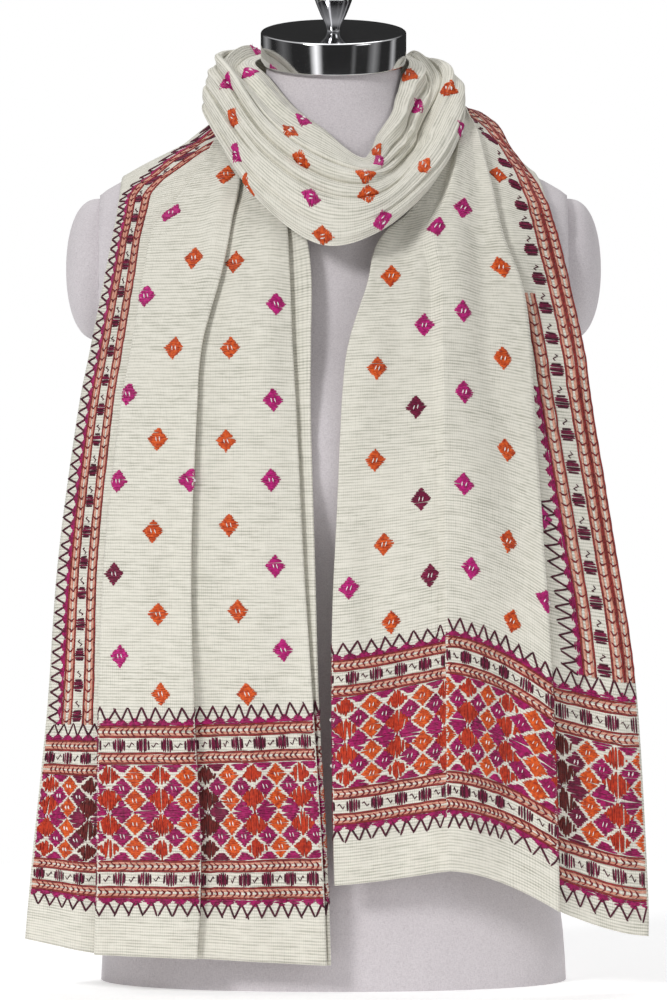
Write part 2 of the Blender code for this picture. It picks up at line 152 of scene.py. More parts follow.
# The right fall from the hem up. x of: f inner edge, v valley, r crease that stands out, t trough,
# g fold of the side pleat, a outer edge. z and y at f, r, g and a.
RIGHT_COLUMNS = "f v r t g a zf zr zg za yf yr yg ya lap lean open".split()
RIGHT_ROWS = (
    (1, 77, 87, 128, 169, 237, 82, 93, 61, 40, -131, -131, -118, -90, 26, 0, 0),
    (0, 77, 86, 128, 168, 236, 125, 137, 104, 85, -131, -132, -118, -90, 26, 0, 0),
    (-1, 77, 85, 133, 163, 227, 265, 280, 243, 230, -131, -132, -117, -88, 26, 0, 0),
    (3, 76, 84, 142, 156, 210, 365, 373, 350, 343, -131, -132, -116, -86, 28, 0, 0),
    (7, 73, 83, 133, 150, 195, 451, 455, 443, 438, -129, -126, -104, -74, 30, 10, 0),
    (12, 72, 82, 130, 148, 189, 489, 492, 484, 480, -124, -120, -99, -78, 28, 18, 0),
    (25, 71, 82, 124, 142, 180, 530, 533, 529, 524, -115, -108, -90, -64, 24, 30, 0),
    (36, 69, 81, 118, 136, 171, 568, 570, 566, 562, -100, -94, -80, -58, 20, 44, 0.1),
    (80, 88, 95, 116, 131, 161, 609, 608, 604, 592, -62, -59, -53, -46, 16, 62, 0.35),
    (90, 98, 106, 116, 128, 148, 651, 664, 655, 620, 4, 6, 10, 14, 8, 88, 0.85),
    (86, 93, 99, 108, 117, 133, 672, 662, 640, 613, 48, 56, 66, 74, 5, 112, 1),
)
# Round the neck, by bearing in degrees from the front, minus to the viewer's left. Radius and
# height of the top edge, the valley behind its lip, the lip, the belly and the bottom edge.
NECK_COLUMNS = "bearing rt zt rv zv rl zl rb zb re ze".split()
COWL_ROWS = (
    (-130, 68, 712, 76, 705, 84, 715, 93, 698, 93, 668),
    (-90, 65, 704, 74, 694, 86, 706, 98, 684, 98, 664),
    (-60, 61, 692, 74, 680, 88, 690, 104, 668, 109, 645),
    (-30, 64, 669, 80, 654, 96, 651, 113, 626, 122, 597),
    (-5, 76, 651, 91, 637, 106, 624, 122, 596, 132, 562),
    (15, 88, 629, 97, 621, 110, 616, 124, 597, 133, 571),
    (40, 63, 657, 84, 622, 103, 625, 116, 618, 119, 604),
    (65, 61, 686, 78, 650, 94, 656, 105, 650, 106, 638),
    (90, 64, 703, 74, 682, 87, 694, 99, 684, 97, 665),
    (130, 68, 712, 75, 702, 82, 711, 89, 700, 88, 678),
)
NAPE_OUTER_ROWS = (
    (-155, 72, 716, 78, 706, 84, 694, 92, 676, 98, 652),
    (-180, 84, 714, 88, 702, 94, 686, 100, 664, 108, 636),
    (-207, 96, 700, 101, 690, 107, 676, 115, 654, 124, 624),
)
NAPE_INNER_ROWS = (
    (-142, 64, 695, 68, 684, 75, 666, 88, 640, 112, 608),
    (-168, 64, 700, 68, 688, 74, 672, 81, 650, 96, 618),
    (-196, 64, 706, 68, 696, 72, 684, 78, 668, 86, 646),
    (-217, 66, 710, 70, 702, 74, 696, 80, 685, 86, 664),
)

# %% [markdown]
# Each row is worked out from where its folds turn. A level counts layers of cloth from the front
# panel inward, so a pleat is a run out, a turn, a run back and another turn.

# %% Rows of the cloth


def named(columns, row):
    return dict(zip(columns, row))


def smooth(s):
    s = np.clip(s, 0.0, 1.0)
    return s * s * (3 - 2 * s)


def run(x0, x1, level0, level1, inner, hold=0.0):
    """Points (x, level) strictly inside a flat run, which keeps level0 for its first part."""
    steps = [(i + 1) / (inner + 1) for i in range(inner)]
    return [(x0 + (x1 - x0) * s, level0 + (level1 - level0) * smooth((s - hold) / (1 - hold))) for s in steps]


def turn(x, level0, level1, way):
    """Four points round a fold whose tip is at x. way is the direction it points in."""
    radius = abs(level1 - level0) * LAYER / 2
    middle = (level0 + level1) / 2
    rise = (level1 - level0) / 2
    angles = [math.radians(angle) for angle in (-90, -30, 30, 90)]
    return [(x + way * radius * (math.cos(angle) - 1), middle + rise * math.sin(angle)) for angle in angles]


def cuff_points(at, way, level, level_at_fold):
    """The folded inner edge, from its raw end to just short of its fold at f."""
    low, high = CUFF_ENDS
    width = max(CUFF * (1 - smooth((at["zf"] - low) / (high - low))), 5)
    near = min(7, width * 0.5)
    return [(at["f"] + way * width, level), (at["f"] + way * (width + near) / 2, level),
            (at["f"] + way * near, level * 0.7 + level_at_fold * 0.3)]


def left_profile(at):
    """One row of the left fall as (x, level). Level 0 is the front panel, and 1 is one layer in."""
    edge = at["f"]
    q_turn = at["q"] - at["lap"]
    p_turn = at["p"] - at["lap"]
    strip = 2.6 - 1.3 * smooth((edge - at["q"]) / 12)
    points = cuff_points(at, -1, strip + 2.1, strip + 1)
    points += turn(edge, strip + 1, strip, 1)
    points += [(at["q"] + 1, 2.6)]
    points += turn(q_turn, 2.6, 1.7, -1)
    points += turn(at["q"], 1.7, 0.7, 1)
    points += run(at["q"], p_turn, 0.7, 2.0, 3, hold=0.2)
    points += turn(p_turn, 2.0, 1.0, -1)
    points += turn(at["p"], 1.0, 0.0, 1)
    points += run(at["p"], at["c"], 0.0, 0.0, 4)
    points += turn(at["c"], 0.0, 1.0, -1)
    points += run(at["c"], at["b"], 1.0, 1.0, 1)
    points += turn(at["b"], 1.0, 2.0, 1)
    points += run(at["b"], at["a"], 2.0, 1.2, 4, hold=0.45)
    points += [(at["a"], 1.2)]
    return points


def right_profile(at):
    """One row of the right fall as (x, level), from its folded inner edge to its outer edge."""
    edge = at["f"]
    hidden = at["g"] - at["lap"]
    points = cuff_points(at, 1, 2.2, 1.2)
    points += turn(edge, 1.2, 0.2, -1)
    stops = ((edge, 0.2), (at["v"], 1.0), (at["r"], -0.8), (at["t"], 0.5), (at["g"], 0.0))
    inner = (6, 4, 5, 4)
    for (x0, l0), (x1, l1), count in zip(stops, stops[1:], inner):
        points += run(x0, x1, l0, l1, count)
        if x1 != at["g"]:
            points += [(x1, l1)]
    points += turn(at["g"], 0.0, 1.3, 1)
    points += run(at["g"], hidden, 1.3, 1.3, 1)
    points += turn(hidden, 1.3, 2.4, -1)
    points += run(hidden, at["a"], 2.4, 1.4, 6, hold=0.35)
    points += [(at["a"], 1.4)]
    return points


def eased(x, places, values, powers):
    """The value at x between stations, each stretch between two of them bent by its own power."""
    first = np.clip(np.searchsorted(places, x) - 1, 0, len(places) - 2)
    low, high = np.array(places, float)[first], np.array(places, float)[first + 1]
    part = np.clip((x - low) / np.maximum(high - low, 1e-6), 0, 1)
    power = np.array(powers)[first]
    part = np.where(power > 0, part ** np.abs(power), 1 - (1 - part) ** np.abs(power))
    start, end = np.array(values, float)[first], np.array(values, float)[first + 1]
    return start + (end - start) * part


def fall_row(at, points, stations, swell, powers):
    """A hanging row in space, each point with the outward direction there."""
    x, level = np.array(points).T
    spread = at["open"]
    height = 1 + swell * spread * (1 - spread) - 0.55 * spread ** 3
    shares = np.interp(np.arange(POINTS), (0, BORDER_COLUMN, POINTS - 1), (0, 1 - BORDER_SHARE, 1))
    x = x + (at["f"] + (at["a"] - at["f"]) * shares - x) * spread
    inward = level * height * LAYER
    order = sorted(stations, key=lambda name: at[name])
    places = [at[name] for name in order]
    y = np.interp(x, places, [at["y" + name] for name in order])
    z = eased(x, places, [at["z" + name] for name in order], powers)
    lean = math.radians(at["lean"])
    out = np.tile((0.0, -math.cos(lean), math.sin(lean)), (POINTS, 1))
    return np.hstack([x[:, None], y[:, None], z[:, None]] + [out]) - np.outer(inward, (*out[0], 0, 0, 0))


def neck_row(at):
    """A row round the neck, both of its edges turned in."""
    profile = np.array([(at["r" + name], at["z" + name]) for name in "tvlbe"], float)
    lengths = np.concatenate([[0], np.cumsum(np.linalg.norm(np.diff(profile, axis=0), axis=1))])
    s = np.linspace(0, 1, POINTS)
    along = s * lengths[-1]

    def profile_at(place):
        place = np.clip(place, 0, lengths[-1])
        return np.stack([np.interp(place, lengths, profile[:, k]) for k in (0, 1)], axis=1)

    slope = profile_at(along + 6) - profile_at(along - 6)
    slope /= np.linalg.norm(slope, axis=1, keepdims=True)
    curl = CURL * (smooth(1 - s / 0.09) + smooth((s - 0.93) / 0.07))
    r, z = (profile_at(along) - np.stack([-slope[:, 1], slope[:, 0]], axis=1) * curl[:, None]).T
    bearing = math.radians(at["bearing"])
    out = (math.sin(bearing), -math.cos(bearing), 0.0)
    return np.stack([r * out[0], r * out[1], z] + [np.full(POINTS, c) for c in out], axis=1)


def curve_at(values, places):
    """Smooth curve through values, one for each whole number, read at the places given."""
    last = len(values) - 1
    first = np.minimum(places.astype(int), last - 1)
    t = (places - first).reshape(-1, *[1] * (values.ndim - 1))
    a, b, c, d = (values[np.clip(first + k, 0, last)] for k in (-1, 0, 1, 2))
    return 0.5 * (2 * b + (c - a) * t + (2 * a - 5 * b + 4 * c - d) * t ** 2
                  + (3 * b - a - 3 * c + d) * t ** 3)


def whole_cloth():
    """All rows from the left hem to the right hem, and the place of each seam between stretches."""
    left = [named(LEFT_COLUMNS, row) for row in LEFT_ROWS]
    right = [named(RIGHT_COLUMNS, row) for row in reversed(RIGHT_ROWS)]
    groups = (
        [fall_row(at, left_profile(at), "fpca", LEFT_SWELL, HEM_BENDS["fpca"]) for at in left],
        [neck_row(named(NECK_COLUMNS, row)) for row in NAPE_INNER_ROWS],
        [neck_row(named(NECK_COLUMNS, row)) for row in reversed(COWL_ROWS)],
        [neck_row(named(NECK_COLUMNS, row)) for row in NAPE_OUTER_ROWS],
        [fall_row(at, right_profile(at), "frga", RIGHT_SWELL, HEM_BENDS["frga"]) for at in right],
    )
    counts = np.cumsum([len(group) for group in groups])
    seams = [0, counts[0] - 1, counts[1], counts[2] - 1, counts[3], counts[4] - 1]
    return np.array([row for group in groups for row in group]), seams


# %% [markdown]
# ## The dress form's body
#
# The form's rings are ovals, a little squarer at the shoulders. The cloth has to clear them, so
# the rings are needed before the cloth. Their heights, half widths and depths are tabled in mm.

# %% Rings of the form
NECK_TILT = 12.5        # the neck's top leans forward by this many degrees
NECK_TOP_Z = 698.5
TORSO_COLUMNS = "z half front back square lean".split()
TORSO_ROWS = (
    (0, 178, 106, 112, 2.2, 0),
    (50, 174, 105, 114, 2.2, 0),
    (110, 162, 101, 111, 2.2, 0),
    (170, 145, 95, 102, 2.2, 0),
    (220, 132, 90, 93, 2.2, 0),
    (260, 127, 90, 88, 2.2, 0),
    (310, 133, 101, 89, 2.2, 0),
    (360, 146, 117, 93, 2.2, 0),
    (405, 156, 124, 98, 2.25, 0),
    (450, 164, 117, 102, 2.3, 0),
    (480, 174, 108, 104, 2.35, 0),
    (505, 189, 102, 105, 2.35, 0),
    (540, 199, 94, 104, 2.35, 0),
    (570, 200, 86, 98, 2.3, 0),
    (590, 190, 78, 90, 2.25, 0),
    (606, 167, 70, 82, 2.2, 1),
    (618, 143, 65, 76, 2.1, 2),
    (630, 116, 61, 70, 2.1, 4),
    (643, 90, 58, 65, 2.0, 6),
    (658, 69, 55, 60, 2.0, 8),
    (674, 57, 52, 55, 2.0, 10),
    (NECK_TOP_Z, 50, 49, 51, 2.0, NECK_TILT),
)
TORSO = {name: np.array(values, float) for name, values in zip(TORSO_COLUMNS, zip(*TORSO_ROWS))}


def ring_value(name, z):
    return np.interp(z, TORSO["z"], TORSO[name])


def oval_size(points):
    """How many times larger than the form's ring at its height each point lies."""
    x, y, z = np.moveaxis(points, -1, 0)
    base = z - y * np.tan(np.radians(ring_value("lean", z)))
    depth = np.where(y > 0, ring_value("back", base), ring_value("front", base))
    square = ring_value("square", base)
    return ((np.abs(x) / ring_value("half", base)) ** square + (np.abs(y) / depth) ** square) ** (1 / square)


def above_form(points):
    """Distance from the form's surface, to first order."""
    size = oval_size(points)
    steps = [oval_size(points + np.eye(3)[k]) - size for k in range(3)]
    slope = np.maximum(np.sqrt(sum(step ** 2 for step in steps)), 1e-4)
    return np.where(size > 1.6, 50.0, (size - 1) / slope)


def lifted(rows):
    """The rows moved outward where they would enter the form, their layers keeping their order."""
    points, out = rows[..., :3], rows[..., 3:]
    need = np.zeros(points.shape[:2])
    for _ in range(LIFT_TRIES):
        low = above_form(points + out * need[..., None]) < CLEAR
        if not low.any():
            break
        need += LIFT_STEP * low
    apart = np.linalg.norm(points[:, :, None] - points[:, None], axis=-1)
    lift = (need[:, None] - LIFT_SLOPE * np.maximum(0, apart - STACK)).max(axis=-1)
    return points + out * np.maximum(lift, 0)[..., None], out


# %% [markdown]
# ## Creases
#
# Cotton this weight falls in a few large pleats with smaller creases between them, none alike.
# The pleats are in the rows. The creases are listed here, each from one place in the
# picture to another, with its own width and depth. All the layers under a crease move with it, so
# none of them touch.

# %% Tables of the creases
CREASE_COLUMNS = "px0 py0 px1 py1 width depth".split()
FALL_CREASES = (
    (243, 190, 236, 330, 9, 1.6),
    (226, 150, 204, 300, 8, 2.2),
    (204, 300, 190, 560, 10, 1.4),
    (268, 205, 262, 420, 12, 1.8),
    (290, 235, 296, 500, 9, -1.3),
    (252, 420, 262, 700, 16, 1.5),
    (178, 330, 160, 640, 12, -1.0),
    (150, 480, 128, 800, 13, 1.6),
    (178, 640, 172, 960, 12, 2.4),
    (215, 620, 214, 962, 14, -2.0),
    (246, 700, 250, 966, 12, 2.2),
    (284, 640, 288, 962, 12, -1.6),
    (312, 560, 318, 960, 9, 1.8),
    (120, 760, 116, 962, 9, -1.8),
    (66, 480, 52, 720, 9, 1.8),
    (56, 640, 44, 940, 9, -2.2),
    (80, 700, 72, 950, 10, 2.0),
    (455, 150, 462, 330, 10, 2.0),
    (478, 190, 492, 420, 9, -1.5),
    (436, 190, 408, 340, 9, 2.2),
    (412, 190, 372, 330, 9, -1.4),
    (394, 250, 352, 460, 12, 1.8),
    (380, 480, 366, 640, 14, -1.2),
    (350, 520, 352, 880, 11, 1.8),
    (402, 640, 398, 880, 13, -2.2),
    (470, 430, 478, 620, 16, 1.6),
    (500, 380, 524, 600, 12, -1.4),
    (468, 660, 470, 870, 14, 2.0),
    (506, 640, 520, 880, 13, -2.0),
    (548, 560, 566, 690, 10, 1.6),
    (584, 620, 592, 930, 12, -2.4),
    (616, 560, 628, 930, 11, 2.2),
    (560, 230, 590, 430, 8, 1.2),
)
NECK_CREASE_COLUMNS = "s0 s1 start end width depth".split()
COWL_CREASES = (
    (0.34, 0.36, 0.30, 1.00, 0.016, -3.2),
    (0.41, 0.44, 0.32, 1.00, 0.030, 2.4),
    (0.49, 0.51, 0.42, 0.98, 0.016, -3.2),
    (0.56, 0.60, 0.46, 0.96, 0.026, 1.8),
    (0.64, 0.62, 0.26, 0.72, 0.020, -2.4),
    (0.77, 0.72, 0.18, 0.62, 0.034, 1.6),
    (0.84, 0.90, 0.52, 0.95, 0.026, -1.8),
    (0.14, 0.10, 0.02, 0.36, 0.026, 1.8),
    (0.25, 0.24, 0.00, 0.42, 0.016, -2.6),
    (0.33, 0.31, 0.00, 0.38, 0.026, 2.2),
    (0.45, 0.42, 0.00, 0.46, 0.018, -3.0),
    (0.56, 0.64, 0.00, 0.40, 0.030, 2.0),
    (0.70, 0.74, 0.66, 0.99, 0.022, -3.4),
    (0.88, 0.86, 0.05, 0.50, 0.022, -1.6),
)
NAPE_CREASES = (
    (0.16, 0.13, 0.0, 1.0, 0.030, 2.0),
    (0.28, 0.30, 0.0, 1.0, 0.024, -1.8),
    (0.42, 0.40, 0.0, 1.0, 0.034, 1.8),
    (0.56, 0.60, 0.0, 1.0, 0.022, -1.6),
    (0.72, 0.69, 0.0, 1.0, 0.030, 1.9),
    (0.86, 0.88, 0.0, 1.0, 0.024, -1.2),
)
PLANE_OF_PICTURE = -0.13
FOLD_STRENGTH = 1.7
NECK_STRENGTH = 1.3


def on_plane(px, py):
    """Where the ray through a place in the picture meets the plane of the cloth's front, in mm."""
    ray = picture_ray(px, py)
    hit = CAMERA_PLACE + ray * ((PLANE_OF_PICTURE - CAMERA_PLACE.y) / ray.y)
    return hit.x / MM, hit.z / MM


def fall_creases(points):
    """Depth of all the creases at each point of a hanging stretch."""
    depth = np.zeros(points.shape[:2])
    for row in FALL_CREASES:
        at = named(CREASE_COLUMNS, row)
        start = np.array(on_plane(at["px0"], at["py0"]))
        end = np.array(on_plane(at["px1"], at["py1"]))
        line = end - start
        offset = points[..., (0, 2)] - start
        along = offset @ line / (line @ line)
        across = (offset[..., 0] * line[1] - offset[..., 1] * line[0]) / np.linalg.norm(line)
        fade = smooth((along + 0.05) / 0.25) * smooth((1.05 - along) / 0.25)
        depth += FOLD_STRENGTH * at["depth"] * fade * np.exp(-(across / at["width"]) ** 2)
    return depth


def neck_creases(shape, table):
    """Depth of all the creases at each point of a stretch round the neck."""
    along = np.linspace(0, 1, shape[0])[:, None]
    s = np.linspace(0, 1, shape[1])[None]
    depth = np.zeros(shape)
    for row in table:
        at = named(NECK_CREASE_COLUMNS, row)
        place = (along - at["start"]) / (at["end"] - at["start"])
        centre = at["s0"] + (at["s1"] - at["s0"]) * place
        fade = smooth((place + 0.03) / 0.2) * smooth((1.03 - place) / 0.2)
        depth += at["depth"] * fade * np.exp(-((s - centre) / at["width"]) ** 2)
    return NECK_STRENGTH * depth


# %% [markdown]
# ## The fine grids
#
# Each stretch keeps its own grid and knows how far across and along the cloth each point lies.
# That is all the embroidery needs: a stitch is given by where it enters and leaves the cloth.

# %% Cloth grids
ALONG = 12   # fine rows to a row of a table
ACROSS = 4   # fine points to a point of a row


class Stretch:
    """One stretch of the cloth: points in metres, with distances across (u) and along (v) it."""

    def __init__(self, name, points, outward):
        self.name = name
        self.points = points * MM
        steps_u = np.linalg.norm(np.diff(self.points, axis=1), axis=2)
        steps_v = np.linalg.norm(np.diff(self.points, axis=0), axis=2)
        lower = steps_u[:len(steps_u) // 2] if name.startswith("fall") else steps_u
        self.u = np.concatenate([[0], np.cumsum(lower.mean(axis=0))])
        self.v = np.concatenate([[0], np.cumsum(steps_v.mean(axis=1))])
        across = np.gradient(self.points, axis=1)
        ahead = np.gradient(self.points, axis=0)
        normals = np.cross(ahead, across) * outward
        self.normals = normals / np.maximum(np.linalg.norm(normals, axis=2, keepdims=True), 1e-12)
        self.width = float(self.u[-1])
        self.mean_width = float(steps_u.sum(axis=1).mean())
        self.length = float(self.v[-1])
        count = self.points.shape[1]
        self.faces = [(k, k + 1, k + 1 + count, k + count)
                      for j in range(len(self.points) - 1) for k in range(j * count, (j + 1) * count - 1)]
        self.tree = BVHTree.FromPolygons([Vector(p) for p in self.points.reshape(-1, 3)], self.faces)

    def at(self, u, v):
        """Place and outward direction on the cloth's middle surface."""
        i = np.clip(np.interp(u, self.u, np.arange(len(self.u))), 0, len(self.u) - 1.001)
        j = np.clip(np.interp(v, self.v, np.arange(len(self.v))), 0, len(self.v) - 1.001)
        i0, j0 = i.astype(int), j.astype(int)
        a, b = (i - i0)[..., None], (j - j0)[..., None]
        found = []
        for grid in (self.points, self.normals):
            low = grid[j0, i0] * (1 - a) + grid[j0, i0 + 1] * a
            high = grid[j0 + 1, i0] * (1 - a) + grid[j0 + 1, i0 + 1] * a
            found.append(low * (1 - b) + high * b)
        return found[0], found[1]

    def scale(self, u, v):
        """Real length across and along of one unit of u and of v at a place."""
        step = 0.004
        p, _ = self.at(np.array([u - step, u + step, u, u]), np.array([v, v, v - step, v + step]))
        return [np.linalg.norm(p[k + 1] - p[k]) / (2 * step) for k in (0, 2)]

    def place_of(self, face, hit):
        """u and v of a point that lies on one of the grid's faces."""
        count = len(self.u) - 1
        j, i = divmod(face, count)
        corner = self.points[j, i]
        side_u, side_v = self.points[j, i + 1] - corner, self.points[j + 1, i] - corner
        a, b = np.linalg.lstsq(np.stack([side_u, side_v], axis=1), np.array(hit) - corner, rcond=None)[0]
        return (self.u[i] + (self.u[i + 1] - self.u[i]) * a, self.v[j] + (self.v[j + 1] - self.v[j]) * b)


def fine_points(rows, seams, k):
    """The k-th stretch's points, its ends moved in by half a seam's gap beside its neighbours."""
    first, last = float(seams[k]), float(seams[k + 1])

    def gap(one, other):
        steps = np.sort(np.linalg.norm(rows[one, :, :3] - rows[other, :, :3], axis=1))
        return SEAM / steps[3]

    if k > 0:
        first += gap(seams[k], seams[k] + 1)
    if k < len(seams) - 2:
        last -= gap(seams[k + 1] - 1, seams[k + 1])
    count = ALONG * (seams[k + 1] - seams[k])
    points, out = lifted(curve_at(rows, np.linspace(first, last, count + 1)))
    places = np.linspace(0, POINTS - 1, (POINTS - 1) * ACROSS + 1)
    both = curve_at(np.concatenate([points, out], axis=2).swapaxes(0, 1), places).swapaxes(0, 1)
    return both[..., :3], both[..., 3:]


def make_stretches():
    rows, seams = whole_cloth()
    found = {}
    for k, name in enumerate(("fall_left", "nape_inner", "cowl", "nape_outer", "fall_right")):
        points, out = fine_points(rows, seams, k)
        if name.startswith("fall"):
            points = points + out * fall_creases(points)[..., None]
        else:
            depth = neck_creases(points.shape[:2], COWL_CREASES if name == "cowl" else NAPE_CREASES)
            flat = Stretch(name, points, 1)
            points = points + flat.normals * depth[..., None]
        way = -1 if name == "fall_right" else 1     # both falls are measured up from their hems
        found[name] = Stretch(name, points[::way], way)
    return found


stretches = make_stretches()
for stretch in stretches.values():
    print(f"{stretch.name}: {stretch.width / MM:.0f} mm across, {stretch.length / MM:.0f} mm along, "
          f"{2 * len(stretch.faces)} triangles")

# %% [markdown]
# ## Materials
#
# One small class lets a material's maths be written as sums, and one method adds any other node.

# %% Material helper


class Wire:
    """A socket in a material that takes part in sums."""

    def __init__(self, tree, socket):
        self.tree = tree
        self.socket = socket

    def math(self, operation, *others, flip=False):
        node = self.tree.nodes.new("ShaderNodeMath")
        node.operation = operation
        values = (self, *others)
        for place, value in enumerate(reversed(values) if flip else values):
            if isinstance(value, Wire):
                self.tree.links.new(value.socket, node.inputs[place])
            else:
                node.inputs[place].default_value = value
        return Wire(self.tree, node.outputs[0])

    def __add__(self, other):
        return self.math("ADD", other)

    def __radd__(self, other):
        return self.math("ADD", other)

    def __sub__(self, other):
        return self.math("SUBTRACT", other)

    def __rsub__(self, other):
        return self.math("SUBTRACT", other, flip=True)

    def __mul__(self, other):
        return self.math("MULTIPLY", other)

    def __truediv__(self, other):
        return self.math("DIVIDE", other)

    def __pow__(self, other):
        return self.math("POWER", other)

    def sine(self):
        return self.math("SINE")

    def clamped(self):
        held = self.math("ADD", 0.0)
        held.socket.node.use_clamp = True
        return held

    def mix(self, low, high):
        """A colour between low and high, by this value."""
        node = self.tree.nodes.new("ShaderNodeMix")
        node.data_type = "RGBA"
        self.tree.links.new(self.socket, node.inputs["Factor"])
        for name, value in (("A", low), ("B", high)):
            socket = [s for s in node.inputs if s.name == name and s.type == "RGBA"][0]
            if isinstance(value, Wire):
                self.tree.links.new(value.socket, socket)
            else:
                socket.default_value = (*value, 1.0)
        return Wire(self.tree, [s for s in node.outputs if s.type == "RGBA"][0])


class Nodes:
    """A node tree while it is put together."""

    def __init__(self, tree):
        self.tree = tree

    def node(self, kind, output, **inputs):
        """Adds a node and gives one of its outputs."""
        node = self.tree.nodes.new(kind)
        for key, value in inputs.items():
            socket = node.inputs[key.replace("_", " ")]
            if isinstance(value, Wire):
                self.tree.links.new(value.socket, socket)
            else:
                socket.default_value = value
        return Wire(self.tree, node.outputs[output])

    def coordinates(self, kind):
        """The X, Y and Z of the coordinates of one kind."""
        node = self.tree.nodes.new("ShaderNodeSeparateXYZ")
        self.tree.links.new(self.node("ShaderNodeTexCoord", kind).socket, node.inputs[0])
        return [Wire(self.tree, out) for out in node.outputs]

    def noise(self, x, y, z, detail=2.0):
        place = self.node("ShaderNodeCombineXYZ", "Vector", X=x, Y=y, Z=z)
        return self.node("ShaderNodeTexNoise", "Fac", Vector=place, Scale=1.0, Detail=detail)


class Finish(Nodes):
    """A material while it is put together."""

    def __init__(self, name, **constants):
        self.material = bpy.data.materials.new(name)
        self.material.use_nodes = True
        super().__init__(self.material.node_tree)
        self.shader = self.tree.nodes["Principled BSDF"]
        for key, value in constants.items():
            self.shader.inputs[key.replace("_", " ")].default_value = value

    def feed(self, name, value):
        self.tree.links.new(value.socket, self.shader.inputs[name])

    def bump(self, height, distance, strength=1.0):
        self.feed("Normal", self.node("ShaderNodeBump", "Normal", Height=height, Distance=distance,
                                      Strength=strength))


# %% [markdown]
# The cloth is a cotton with a corded weft: a thick rib every 2.3 mm across the cloth, and finer
# warp threads between. The hollows between them are painted a darker grey green as painted shade,
# and the ribs swell and thin by hand spinning.
# The pattern reads the cloth's own coordinates, so the ribs follow every fold.

# %% Cream cloth
RIB = 2.3
WARP = 1.5
CREAM = (0.815, 0.790, 0.705)
CREAM_WORN = (0.765, 0.740, 0.655)
# painted shade: the darker colour laid into the hollows of the weave
HOLLOW_PAINTED_SHADE = (0.345, 0.340, 0.275)


def cream_cloth():
    made = Finish("cream_cloth", Roughness=0.86, Sheen_Weight=0.25, Sheen_Roughness=0.5,
                  Specular_IOR_Level=0.25)
    u, v, _ = made.coordinates("UV")
    slub = made.noise(u * 60, v * 800, 0.0)
    thread = made.noise(u * 1100, v * 70, 0.0)
    wide = made.noise(u * 16, v * 26, 0.0, 3.0)
    patch = made.noise(u * 70, v * 260, 0.0)
    rib = ((v / (RIB * MM) + slub * 0.7) * (2 * math.pi)).sine() * 0.5 + 0.5
    warp = ((u / (WARP * MM) + thread * 0.5) * (2 * math.pi)).sine() * 0.5 + 0.5
    # painted shade in the hollows between the ribs and between the warp threads
    shade_between_ribs = ((1 - rib) ** 1.7) * (patch * 2.4 - 0.40).clamped()
    shade_between_warps = ((1 - warp) ** 2.0) * (thread * 2.2 - 0.6).clamped() * 0.5
    shade = ((shade_between_ribs + shade_between_warps) * (0.25 + wide * 0.85)).clamped()
    made.feed("Base Color", shade.mix(wide.mix(CREAM_WORN, CREAM), HOLLOW_PAINTED_SHADE))
    made.bump(rib * 0.65 + warp * 0.35, 0.0004, 0.6)
    return made.material


# %% [markdown]
# ## The cloth itself
#
# A shell 0.8 mm thick on each grid. Its cut edges are plain: the real cloth is finished with no
# hem, only a line of the weave itself.

# %% Cloth shells
CLOTH = 0.8


def mesh_piece(name, points, faces, materials, indices=None):
    mesh = bpy.data.meshes.new(name)
    mesh.from_pydata(points, [], faces)
    for material in materials:
        mesh.materials.append(material)
    if indices is not None:
        mesh.polygons.foreach_set("material_index", indices)
    mesh.update()
    mesh.shade_smooth()
    piece = bpy.data.objects.new(name, mesh)
    bpy.context.scene.collection.objects.link(piece)
    return piece


def settle(piece, node):
    """Fixes a piece to the one body, in the place of its solid."""
    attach(piece, "root")
    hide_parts(node)


def cloth_piece(stretch, material):
    """The stretch as a thin shell with the cloth's coordinates as its UV map, in metres."""
    piece = mesh_piece("cloth_" + stretch.name, stretch.points.reshape(-1, 3).tolist(), stretch.faces,
                       [material])
    u, v = np.meshgrid(stretch.u, stretch.v)
    if not stretch.name.startswith("fall"):
        u, v = v, u     # round the neck the ribs show along the cloth
    flat = np.stack([u.ravel(), v.ravel()], axis=1)
    corners = np.array(stretch.faces).ravel()
    layer = piece.data.uv_layers.new(name="cloth")
    layer.data.foreach_set("uv", flat[corners].ravel())
    wall = piece.modifiers.new("wall", "SOLIDIFY")
    wall.thickness = CLOTH * MM
    wall.offset = 0.0
    return piece


cream = cream_cloth()
cloths = {name: cloth_piece(stretch, cream) for name, stretch in stretches.items()}
for name, piece in cloths.items():
    settle(piece, name)

# %% [markdown]
# ## Thread
#
# The floss is a soft rayon silk: bright, with a low sheen that follows the stitch. Each colour has
# a little unevenness along it. Light salmon fills the chain rows, and the beads are milk glass.

# %% Thread materials


def floss(name, colour, dark, roughness=0.5):
    made = Finish(name, Roughness=roughness, Sheen_Weight=0.1, Sheen_Roughness=0.35, Specular_IOR_Level=0.35)
    place = made.node("ShaderNodeTexCoord", "Object")
    fleck = made.node("ShaderNodeTexNoise", "Fac", Vector=place, Scale=420.0, Detail=2.0)
    patch = made.node("ShaderNodeTexNoise", "Fac", Vector=place, Scale=60.0)
    made.feed("Base Color", (((fleck - 0.5) * 2.6 + patch) * 0.95).clamped().mix(dark, colour))
    made.bump(fleck, 0.0003, 0.5)
    return made.material


